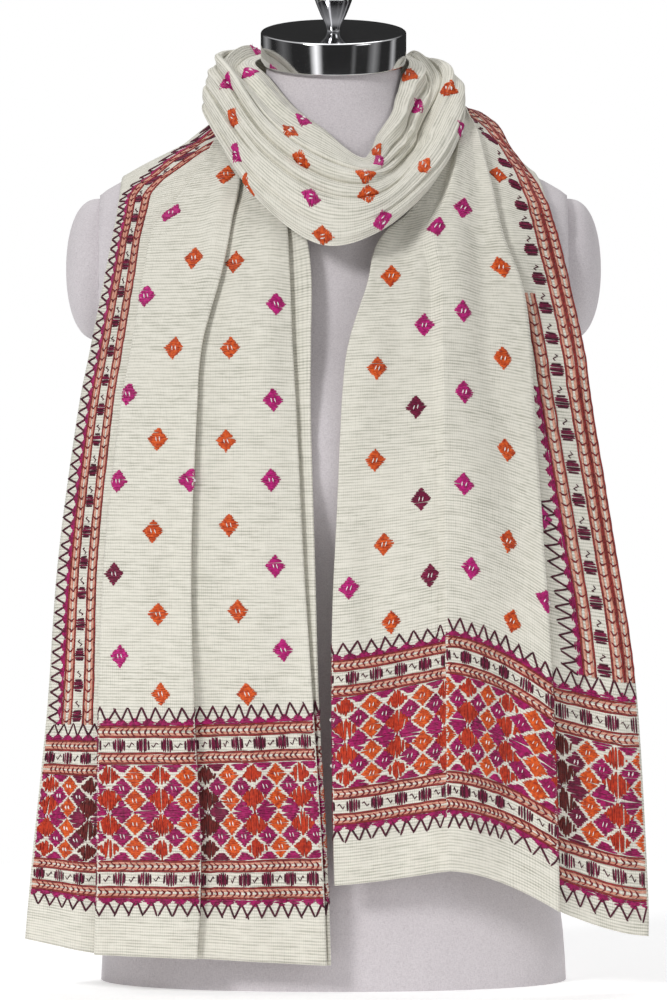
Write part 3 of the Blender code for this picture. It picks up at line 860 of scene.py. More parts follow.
THREADS = {
    "pink": floss("floss_pink", (0.62, 0.014, 0.25), (0.30, 0.007, 0.10)),
    "magenta": floss("floss_magenta", (0.45, 0.006, 0.140), (0.17, 0.003, 0.045)),
    "maroon": floss("floss_maroon", (0.105, 0.005, 0.026), (0.035, 0.003, 0.010)),
    # wine is the blocks' own thread, and also stands in as painted shade for motifs that lie in the folds
    "wine": floss("floss_wine", (0.25, 0.008, 0.060), (0.11, 0.004, 0.026)),
    "orange": floss("floss_orange", (0.80, 0.135, 0.016), (0.40, 0.034, 0.006)),
    "red": floss("floss_red_orange", (0.60, 0.048, 0.010), (0.28, 0.014, 0.005)),
    # painted shade: a darker red for the petals of a flower that lies in a fold's shade
    "shaded_red": floss("floss_shaded_red", (0.17, 0.014, 0.012), (0.07, 0.007, 0.007)),
    "rust": floss("floss_rust", (0.34, 0.034, 0.028), (0.14, 0.012, 0.012)),
    "crimson": floss("floss_crimson", (0.26, 0.013, 0.020), (0.11, 0.007, 0.010)),
    "salmon": floss("floss_salmon", (0.74, 0.40, 0.30), (0.54, 0.22, 0.15), 0.6),
    "bead": floss("bead_white", (0.95, 0.94, 0.92), (0.86, 0.85, 0.82), 0.2),
}
COLOURS = list(THREADS)

# %% [markdown]
# ## Stitches
#
# A stitch is a small raised roof of thread, thinner at both ends where it dives through the
# cloth. A Sewing collects all the stitches of one piece by colour, and makes its mesh at the end.

# %% Sewing helper
SUNK = 0.15          # how far a stitch's underside lies inside the cloth's face
LONGEST_STEP = 2.6


class Sewing:
    """The embroidery on one stretch, gathered stitch by stitch."""

    def __init__(self, stretch):
        self.stretch = stretch
        self.points = []
        self.faces = []
        self.colours = []
        self.count = 0

    def thread(self, colour, paths, width, height, tapered=True):
        """Lays threads along paths of (u, v) in metres, all with the same number of turns."""
        paths = np.asarray(paths, float)
        if not len(paths):
            return
        legs = np.linalg.norm(np.diff(paths, axis=1), axis=2).max(axis=0)
        places = [0.0]
        for k, leg in enumerate(legs):
            steps = max(2 if tapered else 1, int(math.ceil(leg / (LONGEST_STEP * MM))))
            places += [k + (n + 1) / steps for n in range(steps)]
        places = np.array(places)
        low = np.minimum(places.astype(int), paths.shape[1] - 2)
        part = (places - low)[None, :, None]
        line = paths[:, low] * (1 - part) + paths[:, low + 1] * part
        p, n = self.stretch.at(line[..., 0], line[..., 1])
        along = np.gradient(p, axis=1)
        side = np.cross(n, along)
        side /= np.maximum(np.linalg.norm(side, axis=2, keepdims=True), 1e-12)
        t = places / places[-1]
        size = np.clip(0.62 + 4 * np.minimum(t, 1 - t), 0, 1) if tapered else np.ones(len(t))
        half = side * (size * width * MM / 2)[None, :, None]
        under = n * ((CLOTH / 2 - SUNK) * MM)
        over = n * ((CLOTH / 2 + height * size) * MM)[None, :, None]
        corners = np.stack([p - half + under, p + over, p + half + under], axis=2)
        count, steps = corners.shape[:2]
        first = self.count + np.arange(count)[:, None] * steps * 3
        ring = first[:, :, None] + np.arange(steps)[None, :, None] * 3 + np.arange(3)[None, None]
        near, far = ring[:, :-1], ring[:, 1:]
        after = np.roll(near, -1, axis=2)
        after_far = np.roll(far, -1, axis=2)
        quads = np.stack([near, after, after_far, far], axis=-1).reshape(-1, 4)
        caps = np.concatenate([ring[:, 0, ::-1], ring[:, -1]])
        self.points.append(corners.reshape(-1, 3))
        self.faces += quads.tolist() + caps.tolist()
        self.colours += [COLOURS.index(colour)] * (len(quads) + len(caps))
        self.count += count * steps * 3

    def piece(self, name):
        made = mesh_piece(name, np.concatenate(self.points).tolist(), self.faces,
                          list(THREADS.values()), self.colours)
        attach(made, "root")
        print(f"{name}: {sum(len(face) - 2 for face in self.faces)} triangles")
        return made


def wavering(paths, by):
    """Paths in mm with each end moved a little, as no hand stitch is quite true."""
    paths = np.asarray(paths, float)
    return paths + rng.normal(0, by, paths.shape)


# %% [markdown]
# ## The small diamonds
#
# Each is a dozen or so satin stitches laid side by side in a lozenge about 15 mm wide, with two tiny
# beads sewn at its middle. Those that show in front are placed where the photograph has them, and
# those behind the neck follow the same spacing.

# %% Diamonds
DIAMOND_HALF_WIDTH = 7.9
DIAMOND_HALF_HEIGHT = 8.5
STITCH_PITCH = 1.2
SATIN = (1.95, 0.8)      # width of a stitch, and how far it stands out of the cloth
SATIN_STRAY = 0.25       # how far a stitch's ends stray, as no hand stitch is quite true
BEAD = (1.35, 1.9)
BEAD_STRAY = 0.15
DIAMONDS = {
    "orange": (
        (194, 258), (235, 262), (174, 348), (230, 348), (158, 439), (226, 441), (153, 531), (229, 525),
        (158, 614), (238, 611), (161, 694), (247, 694), (226, 174), (249, 188),
        (391, 276), (501, 267), (377, 368), (503, 358), (375, 460), (506, 450), (384, 544), (508, 541),
        (391, 622), (512, 621), (498, 175),
        (233, 117), (290, 131), (301, 160), (366, 173), (368, 195), (323, 236), (377, 150),
        (424, 165), (407, 75), (449, 88),
    ),
    "pink": (
        (171, 213), (146, 296), (276, 304), (128, 394), (273, 400), (118, 481), (191, 480), (271, 480),
        (275, 566), (120, 656), (283, 650),
        (463, 208), (438, 226), (424, 325), (463, 311), (464, 392), (464, 484), (471, 568), (349, 588),
        (543, 518), (547, 602),
        (252, 48), (249, 72), (230, 85), (303, 119), (237, 154), (311, 197), (383, 220), (379, 162),
        (417, 106), (461, 130),
    ),
    # these four lie in the shade of folds and are worked in the darker wine thread as painted shade
    "wine": ((114, 574), (416, 407), (421, 499), (430, 575)),
}
BEADS = np.array([[(-1.9, -1.6), (-1.0, 1.6)], [(0.9, -1.6), (1.8, 1.6)]])
NAPE_FIRST = 34.0        # from a nape stretch's start to its first row of diamonds
NAPE_PITCH = 31.0
NAPE_LAST = 12.0         # no row lies nearer than this to the stretch's end
NAPE_PLACES = ((0.24, 0.80), (0.52,))


def satin(half_width, half_height):
    """Stitches side by side in a lozenge, in mm from its middle."""
    rows = np.arange(-half_height + 0.5, half_height, STITCH_PITCH)
    reach = half_width * (1 - np.abs(rows) / (half_height + 0.3))
    return np.stack([np.stack([-reach, rows], 1), np.stack([reach, rows], 1)], axis=1)


def diamond(sewing, colour, u, v):
    """One diamond of the lattice and its beads, round (u, v) in metres."""
    scale = np.array(sewing.stretch.scale(u, v))
    ends = satin(DIAMOND_HALF_WIDTH, DIAMOND_HALF_HEIGHT)
    sewing.thread(colour, wavering(ends, SATIN_STRAY) * MM / scale + (u, v), *SATIN)
    sewing.thread("bead", wavering(BEADS, BEAD_STRAY) * MM / scale + (u, v), *BEAD)


def seen_place(px, py):
    """The stretch of cloth that the camera sees at a place in the picture, and u and v there."""
    ray = picture_ray(px, py)
    best = None
    for stretch in stretches.values():
        hit, _, face, distance = stretch.tree.ray_cast(CAMERA_PLACE, ray)
        if hit is not None and (best is None or distance < best[0]):
            best = (distance, stretch, stretch.place_of(face, hit))
    return best[1:] if best else None


def sew_behind(sewing, stretch):
    """The same lattice on a stretch behind the neck, where no picture shows it."""
    for k, v in enumerate(np.arange(NAPE_FIRST, stretch.length / MM - NAPE_LAST, NAPE_PITCH)):
        for side in NAPE_PLACES[k % 2]:
            diamond(sewing, ("orange", "pink")[k % 2], side * stretch.width, v * MM)


def sew_diamonds():
    sewings = {name: Sewing(stretch) for name, stretch in stretches.items()}
    for colour, places in DIAMONDS.items():
        for px, py in places:
            found = seen_place(px, py)
            if found is None:
                print(f"no cloth at {px}, {py}")
                continue
            stretch, (u, v) = found
            diamond(sewings[stretch.name], colour, u, v)
    for name in ("nape_inner", "nape_outer"):
        sew_behind(sewings[name], stretches[name])
    return sewings


diamonds = sew_diamonds()

# %% [markdown]
# ## Rows of the borders
#
# The borders are built up from four kinds of row: a zigzag of single dark threads, a scalloped
# magenta edge, a salmon chain between two rust lines, and blocks of maroon stitches with a loose
# thread between them. Each row is worked in its own coordinates, along and across, and then
# carried to the cloth, so the same rows serve across the ends and up the sides.

# %% Border rows
STITCHES = {             # width, height and how far the ends stray
    "zigzag": (2.0, 0.9, 0.5), "scallop": (1.85, 0.65, 0.25), "link": (1.8, 0.9, 0.3),
    "dark": (1.95, 0.8, 0.2), "bright": (1.95, 0.75, 0.2), "loose": (1.15, 0.6, 0.3),
    "petal": (2.3, 0.8, 0.6), "wing": (2.1, 0.7, 0.25), "lozenge": (2.0, 0.75, 0.25),
    "bead": (1.25, 1.9, 0.15),
}
RUST_LINE = (2.1, 0.75)
SALMON_HEIGHT = 0.35
LINE_STRAY = 0.16
COUCHING = 5             # from one couching stitch of a long thread to the next
ZIGZAG_PITCH = 10.0
LINK_PITCH = 4.3
BLOCK_PITCH = 17.2
SCALLOP_HALVES = (5.4, 5.0, 3.7, 2.4, 1.1)
BLOCK_REACHES = (0.74, 0.93, 1.0, 0.97, 0.88, 0.66)
BLOCK_STEP = 1.55
BRIGHT_STITCHES = (1, 3, 4)
LOOSE_THREAD = ((7.2, 0.4), (8.3, 2.1), (10.4, -2.0), (11.9, 0.2))


class Border:
    """Carries rows worked in mm along and across a border to places on the cloth."""

    def __init__(self, sewing, place):
        self.sewing = sewing
        self.place = place

    def thread(self, colour, paths, width, height, by, tapered=True):
        if not len(paths):
            return
        paths = wavering(paths, by)
        u, v = self.place(paths[..., 0], paths[..., 1])
        self.sewing.thread(colour, np.stack([u, v], axis=-1) * MM, width, height, tapered)

    def line(self, colour, start, end, across, width, height):
        """One long thread, couched down along the border."""
        count = max(2, int((end - start) / COUCHING))
        along = np.linspace(start, end, count)
        self.thread(colour, [np.stack([along, np.full(count, across)], 1)], width, height, LINE_STRAY,
                    False)

    def zigzag(self, start, end, low, high, pitch=ZIGZAG_PITCH):
        teeth = np.arange(start, end - pitch * 0.6, pitch)
        up = [[(a, low), (a + pitch / 2, high)] for a in teeth]
        down = [[(a + pitch / 2, high), (a + pitch, low)] for a in teeth]
        self.thread("maroon", up + down, *STITCHES["zigzag"])

    def scallops(self, start, end, base, tip, pitch=ZIGZAG_PITCH):
        """A solid magenta edge with a small peak under each foot of the zigzag."""
        way = 1 if tip > base else -1
        paths = []
        for a in np.arange(start, end + 0.1, pitch):
            for k, half in enumerate(SCALLOP_HALVES):
                across = base + way * (0.4 + k * abs(tip - base) / 5)
                low, high = max(a - half, start), min(a + half, end)
                if high > low + 0.5:
                    paths.append([(low, across), (high, across)])
        self.thread("magenta", paths, *STITCHES["scallop"])

    def chain(self, start, end, low, high, pitch=LINK_PITCH, way=1):
        """Salmon links between two rust lines, each link closed by a small dark V."""
        middle, half = (low + high) / 2, (high - low) / 2
        for across in (middle - half * 0.52, middle + half * 0.52):
            self.line("salmon", start, end, across, half * 0.86, SALMON_HEIGHT)
        for across in (low, high):
            self.line("rust", start, end, across, *RUST_LINE)
        links = np.arange(start + 2, end - 2, pitch)
        reach = half * 0.68
        paths = [[(a + way * 2.1, middle - reach), (a + way * 0.3, middle - reach * 0.45), (a, middle + 0.2),
                  (a + way * 2.3, middle + reach)] for a in links]
        self.thread("crimson", paths, *STITCHES["link"])

    def blocks(self, start, end, low, high, pitch=BLOCK_PITCH):
        """Blocks of upright stitches, rounded at their ends, with a loose thread from one to the next."""
        middle, half = (low + high) / 2, (high - low) / 2
        centres = np.arange(start + 6, end - 4, pitch)
        dark, bright = [], []
        for c in centres:
            for n, reach in enumerate(BLOCK_REACHES):
                a = c + (n - 2) * BLOCK_STEP
                stitch = [(a, middle - half * reach), (a, middle + half * reach)]
                (bright if n in BRIGHT_STITCHES else dark).append(stitch)
        self.thread("maroon", dark, *STITCHES["dark"])
        self.thread("wine", bright, *STITCHES["bright"])
        loose = [[(c + a, middle + b) for a, b in LOOSE_THREAD] for c in centres[:-1]]
        self.thread("maroon", loose, *STITCHES["loose"])


# %% [markdown]
# ## The flower band
#
# Between the rows at each end lies the deep band. A flower of four petals, red up and down and
# magenta to the sides, repeats every 36.5 mm with half flowers above and below it. Between the
# flowers stand columns of four orange diamonds, with small magenta ones in the spaces. Narrow
# lines of bare cloth part them all.

# %% Flower band
FIELD_PITCH = 36.5
SHORTEST = 0.9           # a stitch left shorter than this isn't worked
SLANTED = 0.5            # a stitch that goes across by more than this is slanted
STUMP = 0.6              # and isn't worked where less than this share of it is left
SIDE_PETAL = (9.0, 8.8, 17.2)    # half width, length to the widest place, whole length
UP_PETAL = (9.8, 10.6, 18.0)
HALF_FLOWER = 0.84       # size of the petals of a half flower
WING_ROWS = 4            # stitches in the triangle to each side of a half flower
MAGENTA_DIAMOND = (7.7, 7.2)
MAGENTA_PARTS = (0.245, 0.755)
ORANGE_DIAMOND = (7.8, 7.6)
ORANGE_PARTS = (0.125, 0.375, 0.625, 0.875)
BAND_BEADS = np.array([[(-1.7, -1.5), (-0.9, 1.5)], [(0.8, -1.5), (1.6, 1.5)]])


def petal(border, colour, a, b, way, sideways, size=1.0):
    """One kite shaped petal whose point lies at (a, b), in stitches along its length."""
    wide, shoulder, tip = (length * size for length in (SIDE_PETAL if sideways else UP_PETAL))
    offsets = np.arange(-wide + 0.5, wide, STITCH_PITCH)
    near = np.abs(offsets) / wide * shoulder + 0.3
    far = tip - np.abs(offsets) / wide * (tip - shoulder)
    start = np.stack([offsets, way * near], 1)
    end = np.stack([offsets, way * far], 1)
    paths = np.stack([start, end], axis=1)
    if sideways:
        paths = paths[..., ::-1]
    border.thread(colour, paths + (a, b), *STITCHES["petal"])


class Window(Border):
    """A border whose stitches are cut off at its own two ends."""

    def __init__(self, border, start, end):
        super().__init__(border.sewing, border.place)
        self.start, self.end = start, end

    def thread(self, colour, paths, width, height, by, tapered=True):
        kept = []
        for path in np.array(paths, float):
            along, across = np.ptp(path, axis=0)
            inside = path[:, 0].max() > self.start and path[:, 0].min() < self.end
            path[:, 0] = np.clip(path[:, 0], self.start, self.end)
            left = np.ptp(path[:, 0])
            stump = across > SLANTED and left < STUMP * along
            if inside and not stump and left + across > SHORTEST:
                kept.append(path)
        super().thread(colour, np.array(kept), width, height, by, tapered)


def beads(border, a, b):
    border.thread("bead", BAND_BEADS + (a, b), *STITCHES["bead"])


def small_diamond(border, colour, a, b, halves):
    border.thread(colour, satin(*halves) + (a, b), *STITCHES["lozenge"])
    beads(border, a, b)


def flower_band(window, low, high, flower_in_painted_shade):
    """The band between two heights, with a flower at 0 and at each whole number of pitches from it."""
    middle = (low + high) / 2
    height = high - low
    for k in range(math.floor(window.start / FIELD_PITCH) - 1, math.ceil(window.end / FIELD_PITCH) + 2):
        a = k * FIELD_PITCH
        dark = k == flower_in_painted_shade
        # a flower in a fold's shade is worked in darker red and in wine: painted shade
        up, side = ("shaded_red", "wine") if dark else ("red", "magenta")
        for way in (-1, 1):
            petal(window, up, a, middle, way, False)
            petal(window, side, a, middle, way, True)
        beads(window, a, middle)
        for edge, way in ((low, 1), (high, -1)):
            petal(window, up, a, edge, way, False, HALF_FLOWER)
            for sign in (-1, 1):
                wing = []
                for n in range(WING_ROWS):
                    across = edge + way * (0.7 + n * 1.28)
                    wing.append([(a + sign * reach, across) for reach in (1.6 + n * 1.7, 15.6 - n * 1.3)])
                window.thread(side, wing, *STITCHES["wing"])
        for sign in (-1, 1):
            # beside the shaded flower the small diamonds on its right are wine: painted shade
            colour, beside = "wine" if dark and sign > 0 else "magenta", a + sign * FIELD_PITCH / 4
            for part in MAGENTA_PARTS:
                small_diamond(window, colour, beside, low + height * part, MAGENTA_DIAMOND)
        for part in ORANGE_PARTS:
            small_diamond(window, "orange", a + FIELD_PITCH / 2, low + height * part, ORANGE_DIAMOND)


# %% [markdown]
# ## Putting the borders on the two ends
#
# Heights are measured from the hem, as on the real cloth: 32 mm of plain cloth, then the rows, the
# flower band, and the same rows again upside down. The folds hide part of the pattern, so each panel
# between two folds is worked by itself. Its flower is placed where the camera sees one, and its
# stitches are cut off at the folds.

# %% End borders
ROWS_UP = {
    "zigzag": (32.5, 43), "scallops": (40.5, 45.5), "chain": (46.5, 54), "blocks": (55.2, 65.2),
    "chain_in": (66.2, 73.4),
}
FIELD = (74.5, 144.5)
BORDER_TOP = 186.5
END_MARGIN = 1.5
FOLD_MARGIN = 0.2
RUN_BEFORE = {"zigzag": 4, "scallops": 4, "blocks": 8}   # how far rows start before their window
RUN_AFTER = 8
FOLD_REACH = 4           # how far to each side of a fold, in pixels, the cloth is looked up
# dark gives the flower of a panel that lies in a fold's shade: it is worked in darker thread as painted shade
PANEL_COLUMNS = "flower_x flower_y fold_x fold_y pitch taller drop lean dark".split()
PANELS = {
    "fall_left": (
        (255, 817, 199, 817, 35.0, 1.03, -4.5, -0.04, 1),
        (162, 817, 97, 817, 36.8, 1.02, -2.5, -0.02, None),
        (88, 830, None, None, 33.0, 0.93, 11, 0, 0),
    ),
    "fall_right": (
        (397, 741, 447, 727, 36.5, 0.97, 4.5, 0, None),
        (468, 725, 556, 765, 36.0, 1.0, 0, 0, None),
        (563, 768, None, None, 42.0, 1.15, 0, 0, 0),
    ),
}


def u_seen(px, py):
    return seen_place(px, py)[1][0] / MM


def panels(stretch, sewing):
    """A window for each part of an end between two folds, and which of its flowers lies in a fold's shade,
    worked in darker thread as painted shade.
    """
    first = 0.0
    for row in PANELS[stretch.name]:
        at = named(PANEL_COLUMNS, row)
        flower = u_seen(at["flower_x"], at["flower_y"])
        wider = at["pitch"] / FIELD_PITCH
        last = stretch.width / MM
        if at["fold_x"]:
            last = sum(u_seen(at["fold_x"] + side * FOLD_REACH, at["fold_y"]) for side in (-1, 1)) / 2

        def place(along, across, flower=flower, wider=wider, at=at):
            up = BORDER_TOP - at["drop"] - (BORDER_TOP - across) * at["taller"]
            return flower + along * wider, up + along * at["lean"]

        start = (first + (END_MARGIN if first == 0 else FOLD_MARGIN) - flower) / wider
        end = (last - (FOLD_MARGIN if at["fold_x"] else END_MARGIN) - flower) / wider
        yield Window(Border(sewing, place), start, end), at["dark"]
        first = last


def end_border(stretch):
    sewing = Sewing(stretch)
    total = BORDER_TOP + ROWS_UP["zigzag"][0]
    for border, dark in panels(stretch, sewing):
        after = border.end + RUN_AFTER
        for mirrored in (False, True):
            way = 1 if mirrored == (stretch.name == "fall_right") else -1
            rows = {name: [total - v if mirrored else v for v in span] for name, span in ROWS_UP.items()}
            before = {name: border.start - run_up for name, run_up in RUN_BEFORE.items()}
            border.zigzag(before["zigzag"], after, *rows["zigzag"][::-1])
            border.scallops(before["scallops"], after, *rows["scallops"][::-1])
            for name in ("chain", "chain_in"):
                border.chain(border.start, border.end, *sorted(rows[name]), way=way)
            border.blocks(before["blocks"], after, *sorted(rows["blocks"]))
        flower_band(border, *FIELD, dark)
    return sewing


end_sewings = {name: end_border(stretches[name]) for name in ("fall_left", "fall_right")}

# %% [markdown]
# ## Side borders
#
# The same kinds of row run up the outer side of each end, from where the end's border begins. A row
# is a kind, its two edges measured in from the side, and the height where it stops. Up to the
# shoulder the cloth spreads, and the rows draw in from the side to where the photograph shows them.
# Round the neck the sides are turned in, out of sight.

# %% Side borders
WHOLE = 720              # higher than either end reaches
SIDE_MARGIN = 6
SIDE_ROWS = {
    "fall_left": (
        ("zigzag", 11.5, 1.0, WHOLE), ("scallops", 13.4, 8.8, WHOLE), ("chain", 14.2, 22.4, WHOLE),
        ("blocks", 23.0, 32.6, WHOLE), ("chain", 33.4, 41.2, WHOLE),
    ),
    "fall_right": (
        ("chain", 0.8, 8.2, WHOLE), ("chain", 9.6, 17.8, WHOLE), ("blocks", 19.0, 30.0, WHOLE),
        ("chain", 31.2, 41.0, 455), ("scallops", 41.8, 48.0, 385), ("zigzag", 46.0, 60.0, 310),
    ),
}
SIDE_START = {"fall_left": 175.0, "fall_right": 185.0}
SIDE_PITCH = {"zigzag": 10.0, "scallops": 10.0, "chain": 7.6, "blocks": 23.0}
SPREAD = {
    "fall_left": ((600, 655, 700), (1.0, 1.5, 2.0)),
    "fall_right": ((240, 370, 450, 560, 640), (1.0, 1.18, 1.42, 1.5, 2.0)),
}
EDGE_IN_VIEW = {
    "fall_left": ((0, 605, 613, 627, 637, 654, 671, 683, 700, 721), (0, 0, 4, 20, 31, 50, 64, 76, 90, 100)),
    "fall_right": ((0, 545, 580, 600, 628, 640, 684), (0, 0, 6, 15, 38, 50, 75)),
}


def side_border(stretch):
    """Rows along the outer side, which at the shoulder keep to the cloth that shows in front."""
    sewing = Sewing(stretch)
    width = stretch.width / MM

    def place(along, across):
        spread = across * np.interp(along, *SPREAD[stretch.name])
        return width - spread - np.interp(along, *EDGE_IN_VIEW[stretch.name]), along

    border = Border(sewing, place)
    for kind, low, high, top in SIDE_ROWS[stretch.name]:
        end = min(top, stretch.length / MM - SIDE_MARGIN)
        getattr(border, kind)(SIDE_START[stretch.name], end, low, high, pitch=SIDE_PITCH[kind])
    return sewing


side_sewings = {name: side_border(stretches[name]) for name in ("fall_left", "fall_right")}

# %% [markdown]
# ## The finished pieces
#
# All the stitches of one kind on one stretch become one mesh.

# %% Embroidery pieces
sewn_on = {name: [] for name in stretches}
for name, sewing in diamonds.items():
    if sewing.count:
        sewn_on[name].append(sewing.piece("diamonds_" + name))
for kind, sewings in (("end_border_", end_sewings), ("side_border_", side_sewings)):
    for name, sewing in sewings.items():
        sewn_on[name].append(sewing.piece(kind + name))

for name, piece in cloths.items():
    stretch = stretches[name]
    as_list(sewn_on[name])

# %% [markdown]
# ## The dress form
#
# Its body is padded and covered in a close linen the colour of pale heather. The finer rings here
# round off what the solids have in facets. The arm plates are covered in the same linen, and a
# fine dark line shows where they meet the body.

# %% Linen
LINEN = (0.660, 0.620, 0.640)
LINEN_DARK = (0.480, 0.440, 0.465)


def linen():
    made = Finish("form_linen", Roughness=0.92, Sheen_Weight=0.2, Sheen_Roughness=0.6,
                  Specular_IOR_Level=0.2)
    x, y, z = made.coordinates("Object")
    level = made.noise(x * 500, y * 500, z * 2600)
    upright = made.noise(x * 2400, y * 2400, z * 420)
    patch = made.noise(x * 22, y * 22, z * 22, 3.0)
    weave = (level + upright) * 0.5
    shade = ((weave - 0.5) * 3.2 + 0.72 + (patch - 0.5) * 0.5).clamped()
    made.feed("Base Color", shade.mix(LINEN_DARK, LINEN))
    made.bump(weave, 0.0006, 0.55)
    return made.material


ARM_PLANE = 178.0       # distance of each armhole's flat face from the middle
JOIN = 0.3              # gap between two pieces of the form
FORM_SIDES = 128
RING_STEPS = 4


def ring_points(at):
    """Points of one ring, anticlockwise seen from above, in mm."""
    turned = np.linspace(0, 2 * math.pi, FORM_SIDES, endpoint=False)
    c, s = np.cos(turned), np.sin(turned)
    power = 2 / at["square"]
    x = np.sign(c) * np.abs(c) ** power * at["half"]
    y = np.sign(s) * np.abs(s) ** power * np.where(s > 0, at["back"], at["front"])
    return np.stack([x, y, at["z"] + y * math.tan(math.radians(at["lean"]))], axis=1)


def form_body(material):
    table = np.array(TORSO_ROWS, float)
    places = np.linspace(0, len(table) - 1, (len(table) - 1) * RING_STEPS + 1)
    rings = [ring_points(named(TORSO_COLUMNS, row)) for row in curve_at(table, places)]
    points = np.concatenate(rings)
    edge = ARM_PLANE - JOIN
    points[:, 0] = np.clip(points[:, 0], -edge, edge)
    faces = [tuple(reversed(range(FORM_SIDES))), tuple(range(len(points) - FORM_SIDES, len(points)))]
    for j in range(len(rings) - 1):
        for i in range(FORM_SIDES):
            k, n = j * FORM_SIDES + i, j * FORM_SIDES + (i + 1) % FORM_SIDES
            faces.append((k, n, n + FORM_SIDES, k + FORM_SIDES))
    piece = mesh_piece("dress_form_body", (points * MM).tolist(), faces, [material])
    piece.data.set_sharp_from_angle(angle=math.radians(38))
    return piece


cover = linen()
body = form_body(cover)
print(f"dress form's body: {len(body.data.polygons)} faces")
settle(body, "form_torso")

# %% [markdown]
# The arm plates are domes with finer steps than their solids. They are a little smaller, as the
# photograph shows them.

# %% Arm plates
ARM_CAP_OUT = 26.0      # how far an arm plate stands out
ARM_CAP_HALF_DEPTH = 42.0
ARM_CAP_HALF_HEIGHT = 54.0
ARM_CAP_Z = 542.0


def turned_points(outline, steps):
    """Points and faces of an outline of (radius, height), top first, spun round Z."""
    points, faces, rings = [], [], []
    for r, z in outline:
        if r < 1e-6:
            rings.append([len(points)])
            points.append((0.0, 0.0, z))
        else:
            rings.append(list(range(len(points), len(points) + steps)))
            points += [(r * math.cos(2 * math.pi * k / steps), r * math.sin(2 * math.pi * k / steps), z)
                       for k in range(steps)]
    for high, low in zip(rings, rings[1:]):
        for k in range(steps):
            n = (k + 1) % steps
            face = [high[k % len(high)], low[k % len(low)], low[n % len(low)], high[n % len(high)]]
            faces.append(tuple(dict.fromkeys(face)))
    return np.array(points), faces


def arm_plate(side, material):
    angles = np.radians(np.linspace(0, 88, 26))
    outline = [(ARM_CAP_HALF_HEIGHT * math.sin(a) ** 0.95, ARM_CAP_OUT * math.cos(a) ** 0.8) for a in angles]
    outline += [(ARM_CAP_HALF_HEIGHT, 0.0), (0.0, 0.0)]
    points, faces = turned_points(outline, 72)
    x, y, z = points.T
    placed = np.stack([side * (ARM_PLANE + z), y * ARM_CAP_HALF_DEPTH / ARM_CAP_HALF_HEIGHT,
                       ARM_CAP_Z - side * x], axis=1)
    hand = "left" if side < 0 else "right"
    piece = mesh_piece("arm_plate_" + hand, (placed * MM).tolist(), faces, [material])
    piece.data.set_sharp_from_angle(angle=math.radians(50))
    settle(piece, "arm_cap_" + hand)


for side in (-1, 1):
    arm_plate(side, cover)

# %% [markdown]
# ## The metal neck cap and its finial
#
# Both are spun metal with a bright chrome plate. The rim has a small rounded edge top and bottom.
# Faint polishing lines run round the axis.

# %% Chrome
CAP_RADIUS = 55.5
CAP_HEIGHT = 25.0
CAP_EDGE = 1.6
FINIAL = ((0, 46), (8, 44), (13, 39), (15, 32), (14.5, 25), (10, 13), (6.5, 6), (5.2, 2), (5.2, 0), (0, 0))


def chrome():
    made = Finish("chrome", Metallic=1.0, Roughness=0.07)
    x, y, z = made.coordinates("Object")
    lines = made.noise(x * 8, y * 8, z * 2200)
    smear = made.noise(x * 60, y * 60, z * 60, 3.0)
    made.feed("Base Color", smear.mix((0.58, 0.58, 0.595), (0.68, 0.68, 0.695)))
    made.feed("Roughness", 0.05 + lines * 0.06 + smear * 0.03)
    return made.material


def on_neck(points, height):
    """Points given square to the neck's leaning top, carried to where they lie."""
    tilt = math.radians(NECK_TILT)
    x, y, z = points.T
    z = z + height
    return np.stack([x, y * math.cos(tilt) - z * math.sin(tilt),
                     NECK_TOP_Z + JOIN + y * math.sin(tilt) + z * math.cos(tilt)], axis=1)


def rounded_outline(outline, steps=4):
    """A smooth outline through the points of a coarse one."""
    points = np.array(outline, float)
    fine = curve_at(points[:-2], np.linspace(0, len(points) - 3, (len(points) - 3) * steps + 1))
    return [(max(r, 0.0), z) for r, z in fine] + [tuple(p) for p in points[-2:]]


def neck_metal(material):
    rim = CAP_RADIUS - CAP_EDGE
    corner = [(rim + CAP_EDGE * math.sin(a), CAP_EDGE * (1 - math.cos(a)))
              for a in np.radians(np.linspace(0, 90, 7))]
    outline = [(0, CAP_HEIGHT)] + [(r, CAP_HEIGHT - z) for r, z in corner] + corner[::-1] + [(0, 0)]
    points, faces = turned_points(outline, 160)
    cap = mesh_piece("neck_cap_metal", (on_neck(points, 0) * MM).tolist(), faces, [material])
    cap.data.set_sharp_from_angle(angle=math.radians(40))
    points, faces = turned_points(rounded_outline(FINIAL), 96)
    knob = mesh_piece("finial_metal", (on_neck(points, CAP_HEIGHT + JOIN) * MM).tolist(), faces, [material])
    for piece, node in ((cap, "neck_cap"), (knob, "finial")):
        settle(piece, node)
        print(f"{piece.name}: {len(piece.data.polygons)} faces")


neck_metal(chrome())

# %% [markdown]
# ## Floor and light
#
# A pale floor and a bright, even studio: a wide soft light high at the front left, a weaker one at
# the right, one above and behind, and a light surround. The chrome reflects darkness with bright
# strips in it, each given by its bearing, half its width in degrees, and its strength.

# %% Studio
FLOOR_RADIUS = 1.1
ROOM_LIGHT = 0.42
STRIPS = ((-29, 11, 1.7), (34, 5, 0.16), (70, 13, 0.30), (110, 9, 0.6), (-133, 18, 0.35), (-88, 18, 0.14))


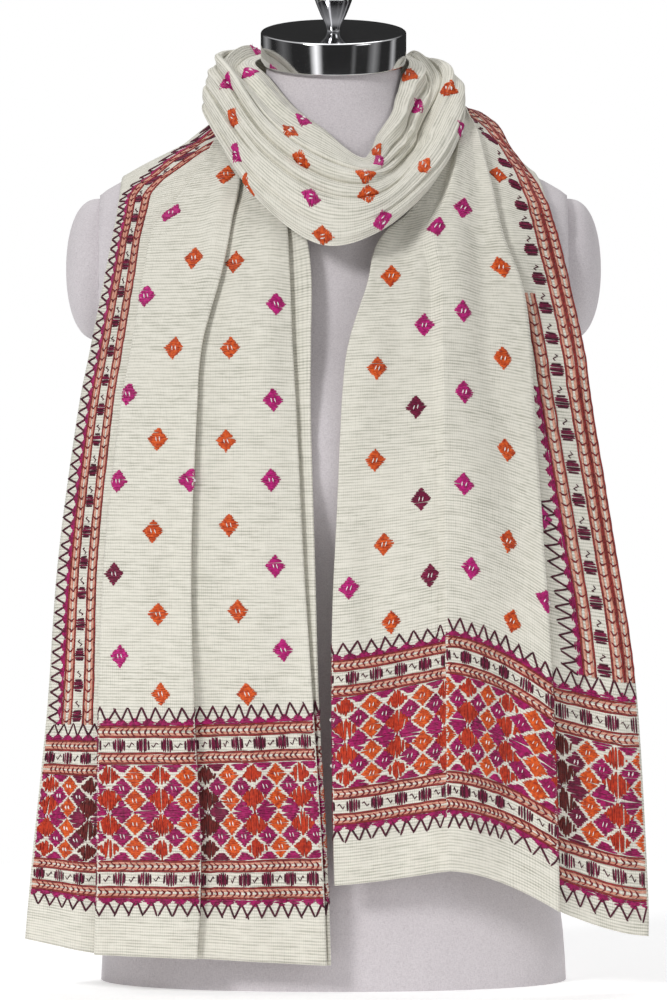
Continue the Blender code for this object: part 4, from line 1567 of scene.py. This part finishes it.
def floor():
    made = Finish("floor", Roughness=0.9, Specular_IOR_Level=0.1, Emission_Color=(1, 1, 1, 1),
                  Emission_Strength=0.32)
    x, y, _ = made.coordinates("Object")
    tone = made.noise(x * 3, y * 3, 0.0)
    made.feed("Base Color", tone.mix((0.93, 0.93, 0.93), (0.95, 0.95, 0.95)))
    turned = np.linspace(0, 2 * math.pi, 96, endpoint=False)
    rim = [(FLOOR_RADIUS * math.cos(a), FLOOR_RADIUS * math.sin(a), 0.0) for a in turned]
    piece = mesh_piece("floor", rim, [tuple(range(len(rim)))], [made.material])


def soft_light(name, place, target, size, power):
    data = bpy.data.lights.new(name, "AREA")
    data.shape = "DISK"
    data.size = size
    data.energy = power
    light = bpy.data.objects.new(name, data)
    bpy.context.scene.collection.objects.link(light)
    light.location = place
    light.rotation_euler = (Vector(target) - Vector(place)).to_track_quat("-Z", "Y").to_euler()


def surround():
    """White behind the object, an even soft light on it, and dark with bright strips for the metal."""
    world = bpy.data.worlds.new("studio")
    bpy.context.scene.world = world
    world.use_nodes = True
    made = Nodes(world.node_tree)
    x, y, z = made.coordinates("Generated")
    bearing = x.math("ARCTAN2", y * -1.0)
    room = (z * 2.4 - 1.2).clamped() * 0.9 + 0.03
    for degrees, half, strength in STRIPS:
        apart = (bearing - math.radians(degrees)).math("ABSOLUTE")
        room = room + (1.0 - apart / math.radians(half)).clamped() * strength
    seen = made.node("ShaderNodeLightPath", "Is Camera Ray")
    mirrored = made.node("ShaderNodeLightPath", "Is Glossy Ray")
    strength = seen + (1 - seen) * (mirrored * room + (1 - mirrored) * ROOM_LIGHT)
    back = world.node_tree.nodes["Background"]
    back.inputs["Color"].default_value = (1.0, 1.0, 1.0, 1.0)
    world.node_tree.links.new(strength.socket, back.inputs["Strength"])


floor()
surround()
soft_light("key", (-2.4, -3.0, 2.4), (0, 0, 0.45), 1.0, 92)
soft_light("fill", (2.6, -2.4, 1.0), (0, 0, 0.4), 1.6, 17)
soft_light("top", (0.2, 1.0, 3.0), (0, 0, 0.5), 1.4, 22)
bpy.context.scene.view_settings.view_transform = "Standard"
